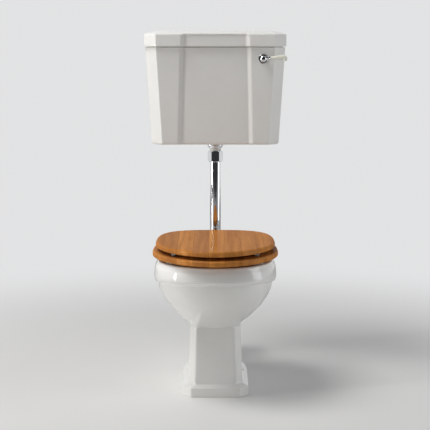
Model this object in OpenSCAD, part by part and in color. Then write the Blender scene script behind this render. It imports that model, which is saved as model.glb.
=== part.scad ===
// Low-level toilet suite with a lever flush: a china pan on a chamfered pedestal, an oak
// seat and lid on a rod hinge, a chromed flush pipe, and a wall-hung china cistern with
// its siphon, float valve and lever.
// Millimetres. +X is to the right as seen by someone facing the suite, +Y runs towards
// the wall, +Z is up. The origin is on the floor, midway between the floor-screw holes.

/* [Setting out] */
// Distance from the wall to the floor-screw holes
wall_gap = 337.5; // [333:0.5:352]
// Height of the cistern's underside above the floor
tank_z = 720; // [710:5:800]
// Distance from the wall to the centre of the flush pipe
pipe_from_wall = 95; // [90:1:100]

/* [Cistern] */
// Width of the cistern at its top edge
tank_w = 441; // [435:1:470]
// Width of the cistern at its underside
tank_base_w = 404; // [396:2:430]
// Depth of the cistern at its top edge
tank_d = 195; // [190:1:210]
// Depth of the cistern at its underside
tank_base_d = 178; // [172:1:186]
// Height of the cistern without its lid
tank_h = 308; // [300:0.5:340]
// Thickness of the cistern's china
tank_wall = 10; // [8:0.5:12]
// Size of the chamfers on the two front corners
tank_chamfer = 34; // [28:1:40]
// Radius along the underside's edges
tank_edge = 9; // [5:1:14]
// Width of the sunk front panel at the cistern's top edge
panel_w = 210; // [190:2:230]
// Width of the sunk front panel at the cistern's underside
panel_base_w = 226; // [200:2:240]
// Depth of the sunk front panel
panel_depth = 6.5; // [4:0.5:8]
// Width of the sloping riser at each side of the panel
riser_w = 16; // [10:1:22]

/* [Cistern lid] */
// How far the lid stands out past the cistern at each side
lid_side = 3; // [2:0.5:12]
// How far the lid stands out past the cistern's front
lid_front = 10; // [5:0.5:16]
// Height of the lid's upright edge
fascia_h = 39; // [28:0.5:44]
// Height of the bevel above the edge
bevel_h = 13; // [8:0.5:18]
// Width of the bevel
bevel_w = 62; // [40:1:70]
// Thickness of the lid's china
lid_wall = 9; // [7:0.5:11]
// Depth of the rib that holds the lid in place
lid_rib_h = 8; // [5:0.5:12]

/* [Flush pipe] */
// Outside diameter of the flush pipe
pipe_d = 35; // [33:0.5:36]
// Wall of the flush pipe
pipe_wall = 1.5; // [1:0.1:2]
// Radius of the pipe's bend, on its centre line
pipe_bend = 50; // [46:1:52]
// Outside diameter of the siphon's threaded tail
tail_d = 36; // [34:0.5:38]
// Length of the threaded tail below the cistern
tail_drop = 44; // [40:1:55]
// Diameter of the backnut's flange
flange_d = 54.5; // [50:0.5:60]
// Size of the flush-pipe nut across its flats
pipe_nut_af = 43; // [42.4:0.2:48]
// Height of the flush-pipe nut
pipe_nut_h = 36; // [30:1:40]

/* [Pan] */
// Height of the pan's rim above the floor
pan_h = 404; // [395:1:430]
// Width of the pan at the fullest part of its rim
pan_w = 364.5; // [355:0.5:375]
// Reach of the rim in front of the floor-screw holes
pan_front = 301; // [290:1:312]
// Reach of the rim behind the floor-screw holes
pan_rear = 139; // [136:1:145]
// Distance from the floor-screw holes to the widest place of the rim
pan_wide = 90.5; // [80:0.5:100]
// Height of the rim band at the sides
rim_band = 87; // [80:1:94]
// How much higher the band's lower edge is at the front
rim_rise = 36; // [20:1:40]
// Distance over which that rise fades out behind the rim's front
rise_l = 340; // [300:5:380]
// Width of the rim's flat top
rim_w = 42; // [38:1:48]
// Thickness of the pan's china
pan_wall = 9; // [8:0.5:11]
// Height of the place where the bowl meets the pedestal
waist_z = 203.5; // [196:0.5:210]

/* [Pedestal and foot] */
// Width of the pedestal just above the foot
pedestal_w = 157.5; // [148:0.5:165]
// Width of the pedestal at the waist
pedestal_top_w = 150; // [140:1:158]
// Reach of the pedestal's front at the waist
pedestal_front = 160; // [150:1:168]
// Reach of the pedestal's front just above the foot
pedestal_base_front = 177; // [162:1:182]
// Chamfer of the pedestal's front corners
pedestal_chamfer = 19.5; // [14:0.5:26]
// Width of the foot
foot_w = 198; // [186:1:210]
// Reach of the foot in front of the floor-screw holes
foot_front = 194; // [184:1:198]
// Reach of the foot behind the floor-screw holes
foot_rear = 177.5; // [172:0.5:187]
// Height of the foot's upright edge
foot_h = 28; // [22:1:34]
// Chamfer of the foot's front corners
foot_chamfer = 27; // [20:1:34]
// Distance between the two floor-screw holes
floor_hole_gap = 172; // [168:1:178]
// Diameter of the floor-screw holes
floor_hole_d = 7.5; // [6:0.5:9]

/* [Waterways] */
// Diameter of the trap's waterway
trap_d = 76; // [70:1:76]
// Radius of the trap's bends, on their centre line
trap_bend = 50; // [50:1:53]
// Height of the outlet's centre above the floor
outlet_z = 185; // [180:1:190]
// Outside diameter of the outlet spigot
spigot_d = 102; // [100:0.5:104]
// Distance of the flush inlet's centre below the rim
inlet_drop = 59; // [56:1:64]
// Outside diameter of the flush inlet horn
horn_d = 58; // [54:1:60]
// Bore of the flush inlet horn
horn_bore = 46; // [40:1:48]

/* [Seat and lid] */
// Width of the seat ring
ring_w = 374; // [366:1:390]
// Reach of the seat ring in front of the floor-screw holes
ring_front = 319.5; // [312:0.5:328]
// Thickness of the seat ring
ring_t = 16; // [14:0.5:20]
// Width of the seat's hole
hole_w = 224; // [210:1:236]
// Length of the seat's hole
hole_l = 250; // [236:1:262]
// Width of the seat lid
cover_w = 355; // [346:1:372]
// Reach of the seat lid in front of the floor-screw holes
cover_front = 313.5; // [306:0.5:322]
// Thickness of the seat lid
cover_t = 15.5; // [14:0.5:18]
// Height of the buffers under the ring
ring_buffer_h = 7.7; // [7:0.1:9]
// Height of the buffers between ring and lid
cover_buffer_h = 11; // [10.5:0.5:13]

/* [Seat hinge] */
// Distance between the hinge's two fixing holes
hinge_gap = 155; // [145:1:165]
// Distance of the fixing holes in front of the pan's rear edge
hinge_inset = 31.5; // [28:0.5:34]
// Diameter of the hinge rod
rod_d = 8; // [7:0.5:9]
// Outside diameter of the knuckles
knuckle_d = 13; // [12.5:0.25:13.5]
// Length of each hinge leaf in front of the rod
leaf_l = 70; // [55:1:80]
// Width of each hinge leaf
leaf_w = 18; // [14:1:20]

/* [Flush lever] */
// Distance of the lever's pivot from the cistern's side, at its top edge
lever_inset = 71; // [66:0.5:76]
// Depth of the lever's pivot below the cistern's top edge
lever_drop = 38; // [36:0.5:46]
// Length of the lever from its pivot to its tip
lever_l = 75; // [70:1:88]
// Diameter of the ceramic grip at its full end
grip_d = 15; // [12:0.5:17]
// Diameter of the flange on the cistern's front
flange_plate_d = 32; // [28:1:36]
// Diameter of the lever's spindle
spindle_d = 8; // [7:0.5:9]
// Distance of the lift rod beside the middle of the siphon's chamber
lift_offset = 15.5; // [14:0.5:18]

/* [Siphon] */
// Outside diameter of the siphon's piston chamber
chamber_d = 76; // [72:1:80]
// Height of the piston chamber
chamber_h = 82; // [76:1:92]
// Outside diameter of the siphon's bent tube
limb_d = 40; // [38:0.5:42]
// Radius of the tube's bend, on its centre line
limb_bend = 22.5; // [22:0.5:24]
// Height of the bend's centre above the cistern's floor
limb_h = 168; // [150:1:180]
// Wall of the siphon's mouldings
siphon_wall = 3; // [2.5:0.25:3.5]

/* [Float valve] */
// Distance of the valve's inlet from the cistern's side, at its top edge
valve_inset = 35.5; // [33:0.5:38]
// Depth of the valve below the cistern's top edge
valve_drop = 63; // [60:0.5:72]
// Distance from the wall to the valve's centre
valve_from_wall = 67.5; // [62:0.5:70]
// Diameter of the valve's threaded inlet
inlet_d = 20.9; // [20:0.1:22]
// Diameter of the float
float_d = 70; // [60:1:74]
// Distance from the valve's pivot to the float's centre
float_arm_l = 78; // [76:0.5:80]
// How far the arm hangs below level when the cistern is empty
float_droop = 32; // [26:1:36]

/* [Hidden] */
$fn = 64;
eps = 0.01;
running = 0.06; // radial clearance of a turning or sliding shaft
loose = 0.3; // radial clearance of a part that only passes through
china = [0.95, 0.94, 0.91];
oak = [0.72, 0.49, 0.24];
chrome = [0.75, 0.76, 0.78];
cream = [0.88, 0.87, 0.78];
rubber = [0.16, 0.16, 0.16];
brass = [0.80, 0.64, 0.30];
plastic = [0.86, 0.86, 0.84];

// ---- places that several pieces share ----

wall_y = wall_gap;
pipe_y = wall_y - pipe_from_wall;
tank_top = tank_z + tank_h;
tank_floor = tank_z + tank_wall + 2;
tank_inner_y = wall_y - tank_wall;

inlet_z = pan_h - inlet_drop;
horn_end = pan_rear + 31;
deck_t = 20; // china under the hinge's fixing holes

hinge_x = hinge_gap / 2;
hinge_y = pan_rear - hinge_inset;
ring_z = pan_h + ring_buffer_h;
ring_top = ring_z + ring_t;
cover_z = ring_top + cover_buffer_h;
leaf_t = 2;
hinge_z = cover_z - leaf_t - knuckle_d / 2 + 0.5;

limb_x = 2 * limb_bend;
chamber_x = limb_x + 21;
lever_x = tank_w / 2 - lever_inset;
lever_z = tank_top - lever_drop;
lift_x = chamber_x + lift_offset;
crank_l = lever_x - lift_x;
valve_x = tank_w / 2 - valve_inset;
valve_z = tank_top - valve_drop;
valve_boss_t = 10;
valve_seat_y = tank_inner_y - valve_boss_t;
pocket_d = 46;
pocket_depth = 8;

// ---- shared shapes ----

// Skin over a stack of rings with equal numbers of points, from the lowest ring up
module loft(rings) {
    n = len(rings[0]);
    last = (len(rings) - 1) * n;
    sides = [
        for (k = [0:len(rings) - 2]) for (i = [0:n - 1])
            let (j = (i + 1) % n, low = k * n, high = low + n)
            each [[low + i, high + i, high + j], [low + i, high + j, low + j]]
    ];
    caps = [[for (i = [0:n - 1]) i], [for (i = [0:n - 1]) last + n - 1 - i]];
    polyhedron([for (ring = rings) each ring], concat(caps, sides), convexity = 8);
}

// Share of its lift that a place on a ring gets: all at the pan's front, none far behind
function lifted(y) =
    let (t = max(0, min(1, (y + pan_front) / rise_l)))
    1 - t * t * (3 - 2 * t);

// One ring of a bowl or a seat: widest at y = wide, with a rounded front and a squarer
// rear; lift raises its front
egg_points = 56;
egg_front_power = 2.4;
function egg(z, half, front, rear, wide, rear_power, lift = 0, front_power = egg_front_power) = [
    for (i = [0:egg_points - 1])
        let (
            a = 360 * i / egg_points, c = cos(a), s = sin(a),
            p = 2 / (s > 0 ? rear_power : front_power),
            reach = s > 0 ? rear - wide : wide - front,
            y = wide + reach * sign(s) * pow(abs(s), p)
        )
        [half * sign(c) * pow(abs(c), p), y, z + lift * lifted(y)]
];
function round_ring(z, r, y) = egg(z, r, y - r, y + r, y, 2, 0, 2);

// A plank with rounded edges: an egg-shaped outline over [height, inset] steps
module plank(steps, half, front, rear)
    loft([
        for (s = steps)
            egg(s[0], half - s[1], front + s[1], rear - s[1], -seat_wide, seat_rear_power, 0,
                seat_front_power)
    ]);

// Height and inset of each step up a plank's edge: a small radius below, a fuller above
function edge_steps(z, t, low, high) = concat(
    [for (a = [0:30:90]) [z + low * (1 - cos(a)), low * (1 - sin(a))]],
    [for (a = [0:22.5:90]) [z + t - high * (1 - sin(a)), high * (1 - cos(a))]]
);

// Section with chamfered front corners and a full, rounded rear end
function block(z, half, front, rear, chamfer) = concat(
    [
        [-half + chamfer, front, z], [half - chamfer, front, z],
        [half, front + chamfer, z]
    ],
    [
        for (a = [0:11.25:180])
            [half * sign(cos(a)) * pow(abs(cos(a)), 0.7), rear * pow(sin(a), 0.7), z]
    ],
    [[-half, front + chamfer, z]]
);

module along_x() rotate([0, 90, 0]) children();
module along_y() rotate([-90, 0, 0]) children();
module pair(x) for (side = [-1, 1]) translate([side * x, 0, 0]) children();

// Plain ring about +Z
module washer(outer, inner, h) difference() {
    cylinder(d = outer, h = h);
    translate([0, 0, -1]) cylinder(d = inner, h = h + 2);
}

// Six-sided nut about +Z, with a plain bore
module hex_nut(flats, bore, h) difference() {
    cylinder(d = flats / cos(30), h = h, $fn = 6);
    translate([0, 0, -1]) cylinder(d = bore, h = h + 2);
}

// Part of a round bar's bend in the YZ plane: a ring of radius r about the middle
module bend(r, d, from, sweep) rotate([90, 0, 90]) rotate([0, 0, from])
    rotate_extrude(angle = sweep) translate([r, 0]) circle(d = d);

// ---- pan ----

rim_half = pan_w / 2;
lip_z = pan_h - rim_band;
bowl_half = rim_half - 13.2;
bowl_front = pan_front - 14;
bowl_rear = pan_rear - 57;
waist_half = 73;
waist_front = pedestal_front + 3;
waist_rear = 0;
throat_y = -50;
throat_low = 105;
throat_h = 34;
sump_half = 48;
sump_front = 110;
sump_rear = 7;
sump_wide = 58;
sump_z = waist_z - 28;
bowl_steps = [1, 0.92, 0.82, 0.7, 0.55, 0.4, 0.25, 0.12, 0];

// Share of the way from waist to rim that the bowl's width has reached, u down from the lip
function swell(u) = 1 - pow(u, 1.68);
function mix(a, b, t) = a + (b - a) * t;

// The rim band's face: [height above the floor, inset from its fullest line]
rim_face = [
    [lip_z, 13.2], [lip_z + 4, 8.9], [lip_z + 9, 4], [lip_z + 26, 0], [pan_h - 28, 2.2],
    [pan_h - 12, 7], [pan_h - 4, 9.5], [pan_h - 1, 12], [pan_h, 16]
];

// Outside of the sump and bowl, thickened inwards by t to give the cavity
function bowl_ring(u, t) = egg(
    mix(lip_z - 3, waist_z, u) + (u > 0 ? t : 0),
    mix(waist_half, bowl_half, swell(u)) - t,
    -mix(waist_front, bowl_front, swell(u)) + t,
    mix(waist_rear, bowl_rear, swell(u)) - t,
    mix(-80, -pan_wide, 1 - u), 2.6, rim_rise * (1 - u)
);
function sump_rings(t) = [
    round_ring(throat_low + throat_h - 4, trap_d / 2 + t + 2, throat_y),
    egg(sump_z - t, sump_half + t, -sump_front - t, -sump_rear + t, -sump_wide, 2.2)
];

module pan_outside() loft(concat(
    sump_rings(pan_wall),
    [for (u = bowl_steps) bowl_ring(u, 0)],
    [
        for (s = rim_face)
            egg(s[0], rim_half - s[1], -pan_front + s[1], pan_rear - s[1], -pan_wide, 3,
                rim_rise * pow((pan_h - s[0]) / rim_band, 1.5))
    ]
));

// Bowl, the open channel under the rim, and the rim's own opening
channel_in = 20; // how far the channel stays inside the rim's fullest line
channel_low = lip_z + rim_rise + 1;
rim_roof = 28; // china above the channel
opening_rear = pan_rear - 92;
module pan_inside() {
    opening = rim_half - 8 - rim_w;
    channel = rim_half - channel_in;
    loft(concat(
        sump_rings(0),
        [for (u = bowl_steps) bowl_ring(u, pan_wall + 1)],
        [
            for (z = [channel_low, pan_h - rim_roof - 8])
                egg(z, channel, -pan_front + channel_in + 1, bowl_rear - 12, -pan_wide, 3),
            for (z = [pan_h - rim_roof, pan_h - 5])
                egg(z, opening, -pan_front + 9 + rim_w, opening_rear, -pan_wide, 2.6),
            egg(pan_h + 1, opening + 5, -pan_front + 4 + rim_w, opening_rear + 4, -pan_wide, 2.6)
        ]
    ));
}

pedestal_rear = foot_rear - 18;
module pedestal() loft([
    block(0, foot_w / 2, -foot_front, foot_rear, foot_chamfer),
    block(foot_h, foot_w / 2, -foot_front, foot_rear, foot_chamfer),
    block(foot_h + 8, pedestal_w / 2 + 1, -pedestal_base_front, pedestal_rear, pedestal_chamfer),
    block(waist_z, pedestal_top_w / 2, -pedestal_front, pedestal_rear - 6, pedestal_chamfer),
    block(waist_z + 40, pedestal_top_w / 2 - 4, -pedestal_front + 12, pedestal_rear - 24,
        pedestal_chamfer)
]);

module pedestal_hollow() {
    t = pan_wall + 1;
    loft([
        block(-1, pedestal_w / 2 - t, -pedestal_base_front + t, pedestal_rear - t,
            pedestal_chamfer),
        block(waist_z, pedestal_top_w / 2 - t, -pedestal_front + t,
            pedestal_rear - 6 - t, pedestal_chamfer),
        block(waist_z + 30, pedestal_top_w / 2 - 3 - t, -pedestal_front + 9 + t,
            pedestal_rear - 20 - t, pedestal_chamfer)
    ]);
    // the rear is open below the outlet, under a round arch
    arch_w = 100;
    arch_top = outlet_z - spigot_d / 2 - 16;
    translate([-arch_w / 2, pedestal_rear - 30, -1]) cube([arch_w, 60, arch_top - arch_w / 2 + 1]);
    translate([0, pedestal_rear - 30, arch_top - arch_w / 2])
        along_y() cylinder(d = arch_w, h = 60);
}

// The waterway from the throat, under the dip, up, and back to the outlet
module trap(d, spigot, end) {
    rise_y = throat_y + 2 * trap_bend;
    turn_z = outlet_z - trap_bend;
    translate([0, throat_y, throat_low]) cylinder(d = d, h = throat_h);
    translate([0, throat_y + trap_bend, throat_low]) bend(trap_bend, d, 180, 180);
    translate([0, rise_y, throat_low]) cylinder(d = d, h = turn_z - throat_low);
    translate([0, rise_y + trap_bend, turn_z]) bend(trap_bend, d, 90, 90);
    translate([0, rise_y + trap_bend, outlet_z]) along_y()
        cylinder(d = spigot, h = end - rise_y - trap_bend);
}

spigot_end = pedestal_rear + 36;

// The pan is one casting, made up of three parts that are stuck together before firing
module pan_bowl() color(china) difference() {
    union() {
        pan_outside();
        translate([0, bowl_rear - 10, inlet_z]) along_y()
            cylinder(d = horn_d, h = horn_end - bowl_rear + 10);
    }
    pan_inside();
    translate([0, throat_y, throat_low]) cylinder(d = trap_d, h = throat_h);
    translate([0, bowl_rear - 25, inlet_z]) along_y()
        cylinder(d = horn_bore, h = horn_end - bowl_rear + 26);
    // hollows under the deck give room for the hinge's nuts
    pair(hinge_x) {
        translate([-32, hinge_y - 24, lip_z - 20]) cube([64, 44, rim_band + 20 - deck_t]);
        translate([0, hinge_y, pan_h - deck_t - 1]) cylinder(d = 11, h = deck_t + 2);
    }
}

module pan_trap() color(china) difference() {
    union() {
        trap(trap_d + 2 * pan_wall, spigot_d, spigot_end);
        // solid partition between the throat and the rising limb
        translate([-trap_d / 4, throat_y + trap_bend - 8, throat_low - trap_bend + trap_d / 2 + 2])
            cube([trap_d / 2, 16, waist_z - throat_low]);
    }
    pan_outside();
    trap(trap_d, trap_d, spigot_end + 1);
}

module pan_pedestal() color(china) difference() {
    pedestal();
    pedestal_hollow();
    pan_outside();
    trap(trap_d + 2 * pan_wall, spigot_d, spigot_end);
    pair(floor_hole_gap / 2) translate([0, 0, -1]) cylinder(d = floor_hole_d, h = foot_h + 20);
}

// ---- soil outlet ----

connector_gap = 5;
pipe_110 = 110;
module soil_connector() color(plastic) {
    y0 = pedestal_rear + 8;
    y1 = spigot_end + 8;
    y2 = y1 + 22;
    socket = spigot_d + 2 * connector_gap;
    translate([0, 0, outlet_z]) difference() {
        union() {
            translate([0, y0, 0]) along_y() cylinder(d = socket + 8, h = y1 - y0);
            translate([0, y1, 0]) along_y() cylinder(d1 = socket + 8, d2 = pipe_110, h = y2 - y1);
            translate([0, y2, 0]) along_y() cylinder(d = pipe_110, h = wall_y + 35 - y2);
            translate([0, y0, 0]) along_y() cylinder(d = socket + 16, h = 7);
        }
        translate([0, y0 - 1, 0]) along_y() cylinder(d = socket, h = spigot_end + 3 - y0);
        translate([0, y0, 0]) along_y() cylinder(d = spigot_d - 2, h = wall_y + 40 - y0);
    }
}

// Rubber sleeve with three lips between the spigot and the connector's socket
module connector_seal() color(rubber) {
    length = 26;
    translate([0, pedestal_rear + 8, outlet_z]) along_y() {
        washer(spigot_d + 2 * connector_gap, spigot_d + 5, length);
        for (k = [0:2]) translate([0, 0, 2 + k * 9])
            washer(spigot_d + 6, spigot_d, 4);
    }
}

// ---- flush pipe ----

tail_end = tank_z - tail_drop;
pipe_top = tail_end - 2;
pipe_end = horn_end - 14;
nut_top = tank_z - 24.5;
nut_low = nut_top - pipe_nut_h;
module pipe_run(d, over) {
    turn_z = inlet_z + pipe_bend;
    turn_y = pipe_y - pipe_bend;
    translate([0, pipe_y, turn_z]) cylinder(d = d, h = pipe_top - turn_z + over);
    translate([0, turn_y, turn_z]) bend(pipe_bend, d, 270, 90);
    translate([0, pipe_end - over, inlet_z]) along_y()
        cylinder(d = d, h = turn_y - pipe_end + over);
}
module flush_pipe() color(chrome) difference() {
    pipe_run(pipe_d, 0);
    pipe_run(pipe_d - 2 * pipe_wall, 1);
}

module flush_pipe_nut() color(chrome) translate([0, pipe_y, 0]) difference() {
    union() {
        translate([0, 0, nut_low + 2])
            cylinder(d = pipe_nut_af / cos(30), h = pipe_nut_h - 2, $fn = 6);
        translate([0, 0, nut_low]) cylinder(d = pipe_nut_af - 2, h = 4);
    }
    translate([0, 0, nut_low - 1]) cylinder(d = pipe_d + 2 * eps, h = pipe_nut_h);
    translate([0, 0, nut_low + 4]) cylinder(d = tail_d + 0.2, h = pipe_nut_h);
}

module flush_pipe_olive() color(rubber) translate([0, pipe_y, nut_low + 4])
    washer(tail_d + 0.2, pipe_d, 8);

// Rubber sleeve that grips the pipe and the horn
module flush_cone() color(rubber) {
    grip_y = horn_end + 6;
    t = 4;
    translate([0, 0, inlet_z]) difference() {
        union() {
            translate([0, horn_end - 18, 0]) along_y() cylinder(d = horn_d + 2 * t, h = 18);
            translate([0, horn_end, 0]) along_y()
                cylinder(d1 = horn_d + 2 * t, d2 = pipe_d + 2 * t, h = 12);
            translate([0, horn_end, 0]) along_y() cylinder(d = pipe_d + 2 * t, h = 20);
            translate([0, horn_end - 18, 0]) along_y() cylinder(d = horn_d + 2 * t + 4, h = 5);
        }
        translate([0, horn_end - 19, 0]) along_y() cylinder(d = horn_d, h = 19);
        translate([0, horn_end - 1, 0]) along_y() cylinder(d = pipe_d, h = 30);
    }
}

washer_t = 3.5;
module outlet_washer() color(rubber) translate([0, pipe_y, tank_z - washer_t])
    washer(flange_d - 4, tail_d, washer_t);

module outlet_backnut() color(chrome) translate([0, pipe_y, tank_z - washer_t]) {
    translate([0, 0, -4]) washer(flange_d, tail_d, 4);
    translate([0, 0, -11]) washer(flange_d - 8, tail_d, 7);
}

// ---- cistern ----

outlet_hole = tail_d + 4;
// Half width, front and the panel's half width of the cistern at a height
function tank_half(z) = mix(tank_base_w, tank_w, (z - tank_z) / tank_h) / 2;
function panel_half(z) = mix(panel_base_w, panel_w, (z - tank_z) / tank_h) / 2;
function tank_front(z) = wall_y - mix(tank_base_d, tank_d, (z - tank_z) / tank_h);

// Section of the cistern, all faces moved inwards by t apart from the wall's side
function tank_ring(z, t, back) =
    let (h = tank_half(z) - t, f = tank_front(z) + t, c = tank_chamfer - 0.586 * t)
    [[-h + c, f, z], [h - c, f, z], [h, f + c, z], [h, back, z], [-h, back, z], [-h, f + c, z]];

// Front edge of the sunk panel as seen from above, sunk by a soft S at each side
function panel_ring(z, front, depth, half) =
    let (n = 6)
    concat(
        [[-half - riser_w / 2, front - 2, z]],
        [[half + riser_w / 2, front - 2, z]],
        [
            for (k = [0:n])
                [half + riser_w * (0.5 - k / n), front + depth * (1 - cos(180 * k / n)) / 2, z]
        ],
        [
            for (k = [n:-1:0])
                [-half - riser_w * (0.5 - k / n), front + depth * (1 - cos(180 * k / n)) / 2, z]
        ]
    );

// Flat seat for a round flange on the sloping front
flange_seat_y = tank_front(lever_z - flange_plate_d / 2) + 0.2;
bush_d = 18;

module tank() color(china) difference() {
    loft(concat(
        [
            for (a = [0:30:90])
                tank_ring(tank_z + tank_edge * (1 - cos(a)), tank_edge * (1 - sin(a)) * 0.8, wall_y)
        ],
        [tank_ring(tank_top, 0, wall_y)]
    ));
    difference() {
        loft([
            tank_ring(tank_floor, tank_wall + 4, tank_inner_y - 4),
            tank_ring(tank_floor + 8, tank_wall, tank_inner_y),
            tank_ring(tank_top + 1, tank_wall, tank_inner_y)
        ]);
        // thicker china round the valve's inlet, whose nut sits in a pocket behind
        translate([-valve_x, valve_seat_y, valve_z]) along_y()
            cylinder(d = pocket_d + 16, h = valve_boss_t + 5);
    }
    translate([-valve_x, wall_y - pocket_depth, valve_z]) along_y()
        cylinder(d = pocket_d, h = pocket_depth + 1);
    loft([
        for (z = [tank_z - 1, tank_top + 1])
            panel_ring(z, tank_front(z), panel_depth, panel_half(z))
    ]);
    translate([0, pipe_y, tank_z - 1]) cylinder(d = outlet_hole, h = 20);
    translate([lever_x, tank_front(lever_z) - 20, lever_z]) along_y()
        cylinder(d = bush_d + 2 * loose, h = tank_wall + 40);
    translate([lever_x, flange_seat_y - 20, lever_z]) along_y()
        cylinder(d = flange_plate_d + 1, h = 20);
    translate([-valve_x, valve_seat_y - 5, valve_z]) along_y()
        cylinder(d = inlet_d + 1, h = valve_boss_t + 10);
    pair(wall_hole_gap / 2) translate([0, tank_inner_y - 1, wall_hole_z]) along_y()
        cylinder(d = wall_hole_d, h = tank_wall + 2);
}
wall_hole_gap = 240;
wall_hole_z = tank_top - 33;
wall_hole_d = 8;

lid_top = tank_top + fascia_h + bevel_h;
// Section of the lid: like the cistern's top edge, moved outwards at the front and sides
function lid_ring(z, t, back) =
    let (
        h = tank_w / 2 + lid_side - t, f = wall_y - tank_d - lid_front + t,
        c = tank_chamfer + 3 - 0.586 * t
    )
    [[-h + c, f, z], [h - c, f, z], [h, f + c, z], [h, back, z], [-h, back, z], [-h, f + c, z]];

module tank_lid() color(china) difference() {
    union() {
        loft([
            lid_ring(tank_top, 2, wall_y),
            lid_ring(tank_top + 2, 0, wall_y),
            lid_ring(tank_top + fascia_h - 2, 0, wall_y),
            lid_ring(tank_top + fascia_h, 1.5, wall_y),
            lid_ring(tank_top + fascia_h + bevel_h * 0.72, bevel_w * 0.5, wall_y),
            lid_ring(lid_top - 1, bevel_w * 0.93, wall_y),
            lid_ring(lid_top, bevel_w, wall_y)
        ]);
        // locating rib, just inside the cistern's mouth
        rib = tank_wall + 3;
        loft([
            tank_ring(tank_top - lid_rib_h, rib, tank_inner_y - 3),
            tank_ring(tank_top + 2, rib, tank_inner_y - 3)
        ]);
    }
    rib_in = tank_wall + 11;
    loft([
        tank_ring(tank_top - lid_rib_h - 1, rib_in, tank_inner_y - 11),
        tank_ring(tank_top + 4, rib_in, tank_inner_y - 11),
        lid_ring(tank_top + fascia_h - lid_wall, lid_wall + 6, wall_y - lid_wall),
        lid_ring(lid_top - lid_wall - 2, bevel_w * 0.9, wall_y - lid_wall - 6)
    ]);
    front = wall_y - tank_d - lid_front;
    lid_panel = panel_w / 2 - 2;
    loft([
        panel_ring(tank_top - 1, front, panel_depth, lid_panel),
        panel_ring(tank_top + fascia_h - 5, front, panel_depth, lid_panel),
        panel_ring(tank_top + fascia_h, front - panel_depth * 0.8, panel_depth, lid_panel)
    ]);
}

// ---- seat ----

seat_wide = 96;
seat_rear_power = 3.2;
seat_front_power = 1.9;
ring_rear = hinge_y - knuckle_d / 2 - 3.5;
cover_rear = hinge_y + 18;
hole_rear = -pan_wide - 12 + hole_l / 2;
ring_buffers = [[128, -216, 40], [126, 18, -12]];
cover_buffers = [[122, -208, 78], [118, 40, -14]];
buffer_l = 30;
buffer_w = 12;
stem_d = 6;
stem_h = 6;
screw_d = 3;
screw_l = 9;

// Screw places on a leaf: distance in front of the rod
leaf_screws = [26, 44, 62];
ring_leaf_x = hinge_x - 25.5;
cover_leaf_x = hinge_x + 7.5;

module screw_holes(x, z, l) for (side = [-1, 1], s = leaf_screws)
    translate([side * (x + leaf_w / 2), hinge_y - s * leaf_l / 70, z]) cylinder(d = screw_d, h = l);

module buffer_places(places) for (side = [-1, 1], b = places)
    translate([side * b[0], b[1], 0]) rotate([0, 0, side * b[2]]) children();

module seat_ring() color(oak) difference() {
    plank(edge_steps(ring_z, ring_t, 3, 6), ring_w / 2, -ring_front, ring_rear);
    hole_y = hole_rear - hole_l / 2;
    loft([
        for (s = [[-1, -3], [0, -3], [3, 0], [ring_t - 7, 0], [ring_t - 3, -2], [ring_t, -7], [ring_t + 1, -8]])
            egg(ring_z + s[0], hole_w / 2 - s[1], hole_rear - hole_l + s[1], hole_rear - s[1],
                hole_y, 2.2, 0, 2.2)
    ]);
    buffer_places(ring_buffers) translate([0, 0, ring_z - 1]) cylinder(d = stem_d, h = stem_h + 1);
    screw_holes(ring_leaf_x, ring_top - screw_l, screw_l + 1);
}

module seat_lid() color(oak) difference() {
    plank(edge_steps(cover_z, cover_t, 3, 7), cover_w / 2, -cover_front, cover_rear);
    buffer_places(cover_buffers) translate([0, 0, cover_z - 1]) cylinder(d = stem_d, h = stem_h + 1);
    screw_holes(cover_leaf_x, cover_z - 1, screw_l + 1);
}

// Rubber bar with round ends and a stem that plugs into the wood above it
module buffer(z, h) translate([0, 0, z]) {
    half = (buffer_l - buffer_w) / 2;
    for (side = [-1, 1]) translate([side * half, 0, 0]) cylinder(d = buffer_w, h = h);
    translate([-half, -buffer_w / 2, 0]) cube([2 * half, buffer_w, h]);
    cylinder(d = stem_d, h = h + stem_h);
}
module seat_buffers() color(plastic) buffer_places(ring_buffers) buffer(pan_h, ring_buffer_h);
module lid_buffers() color(plastic) buffer_places(cover_buffers) buffer(ring_top, cover_buffer_h);

// ---- seat hinge ----

head_w = 14;
knuckle_gap = 0.5;
rod_half = cover_leaf_x + leaf_w + 5;
stud_d = 8;
stud_below = 26;
stud_in_pillar = 12;
pillar_base_d = 30;
hinge_washer_d = 26;
hinge_washer_t = 3;
wing_nut_d = 18;
wing_nut_h = 9;
wing_d = 12;
wing_t = 3;
screw_head_d = 6.5;
screw_neck_d = 4;
screw_head_h = 1.8;

module hinge_pillars() color(chrome) pair(hinge_x) translate([0, hinge_y, 0]) difference() {
    union() {
        translate([0, 0, pan_h]) cylinder(d = pillar_base_d, h = 2.5);
        translate([0, 0, pan_h + 2.5]) cylinder(d1 = pillar_base_d - 3, d2 = knuckle_d - 1, h = 6);
        translate([0, 0, pan_h]) cylinder(d = knuckle_d - 1, h = hinge_z - pan_h);
        translate([-head_w / 2, 0, hinge_z]) along_x() cylinder(d = knuckle_d, h = head_w);
    }
    translate([-head_w, 0, hinge_z]) along_x() cylinder(d = rod_d, h = 2 * head_w);
    translate([0, 0, pan_h - 1]) cylinder(d = stud_d, h = stud_in_pillar + 1);
}

module hinge_rod() color(chrome) translate([-rod_half, hinge_y, hinge_z])
    along_x() cylinder(d = rod_d, h = 2 * rod_half);

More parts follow.
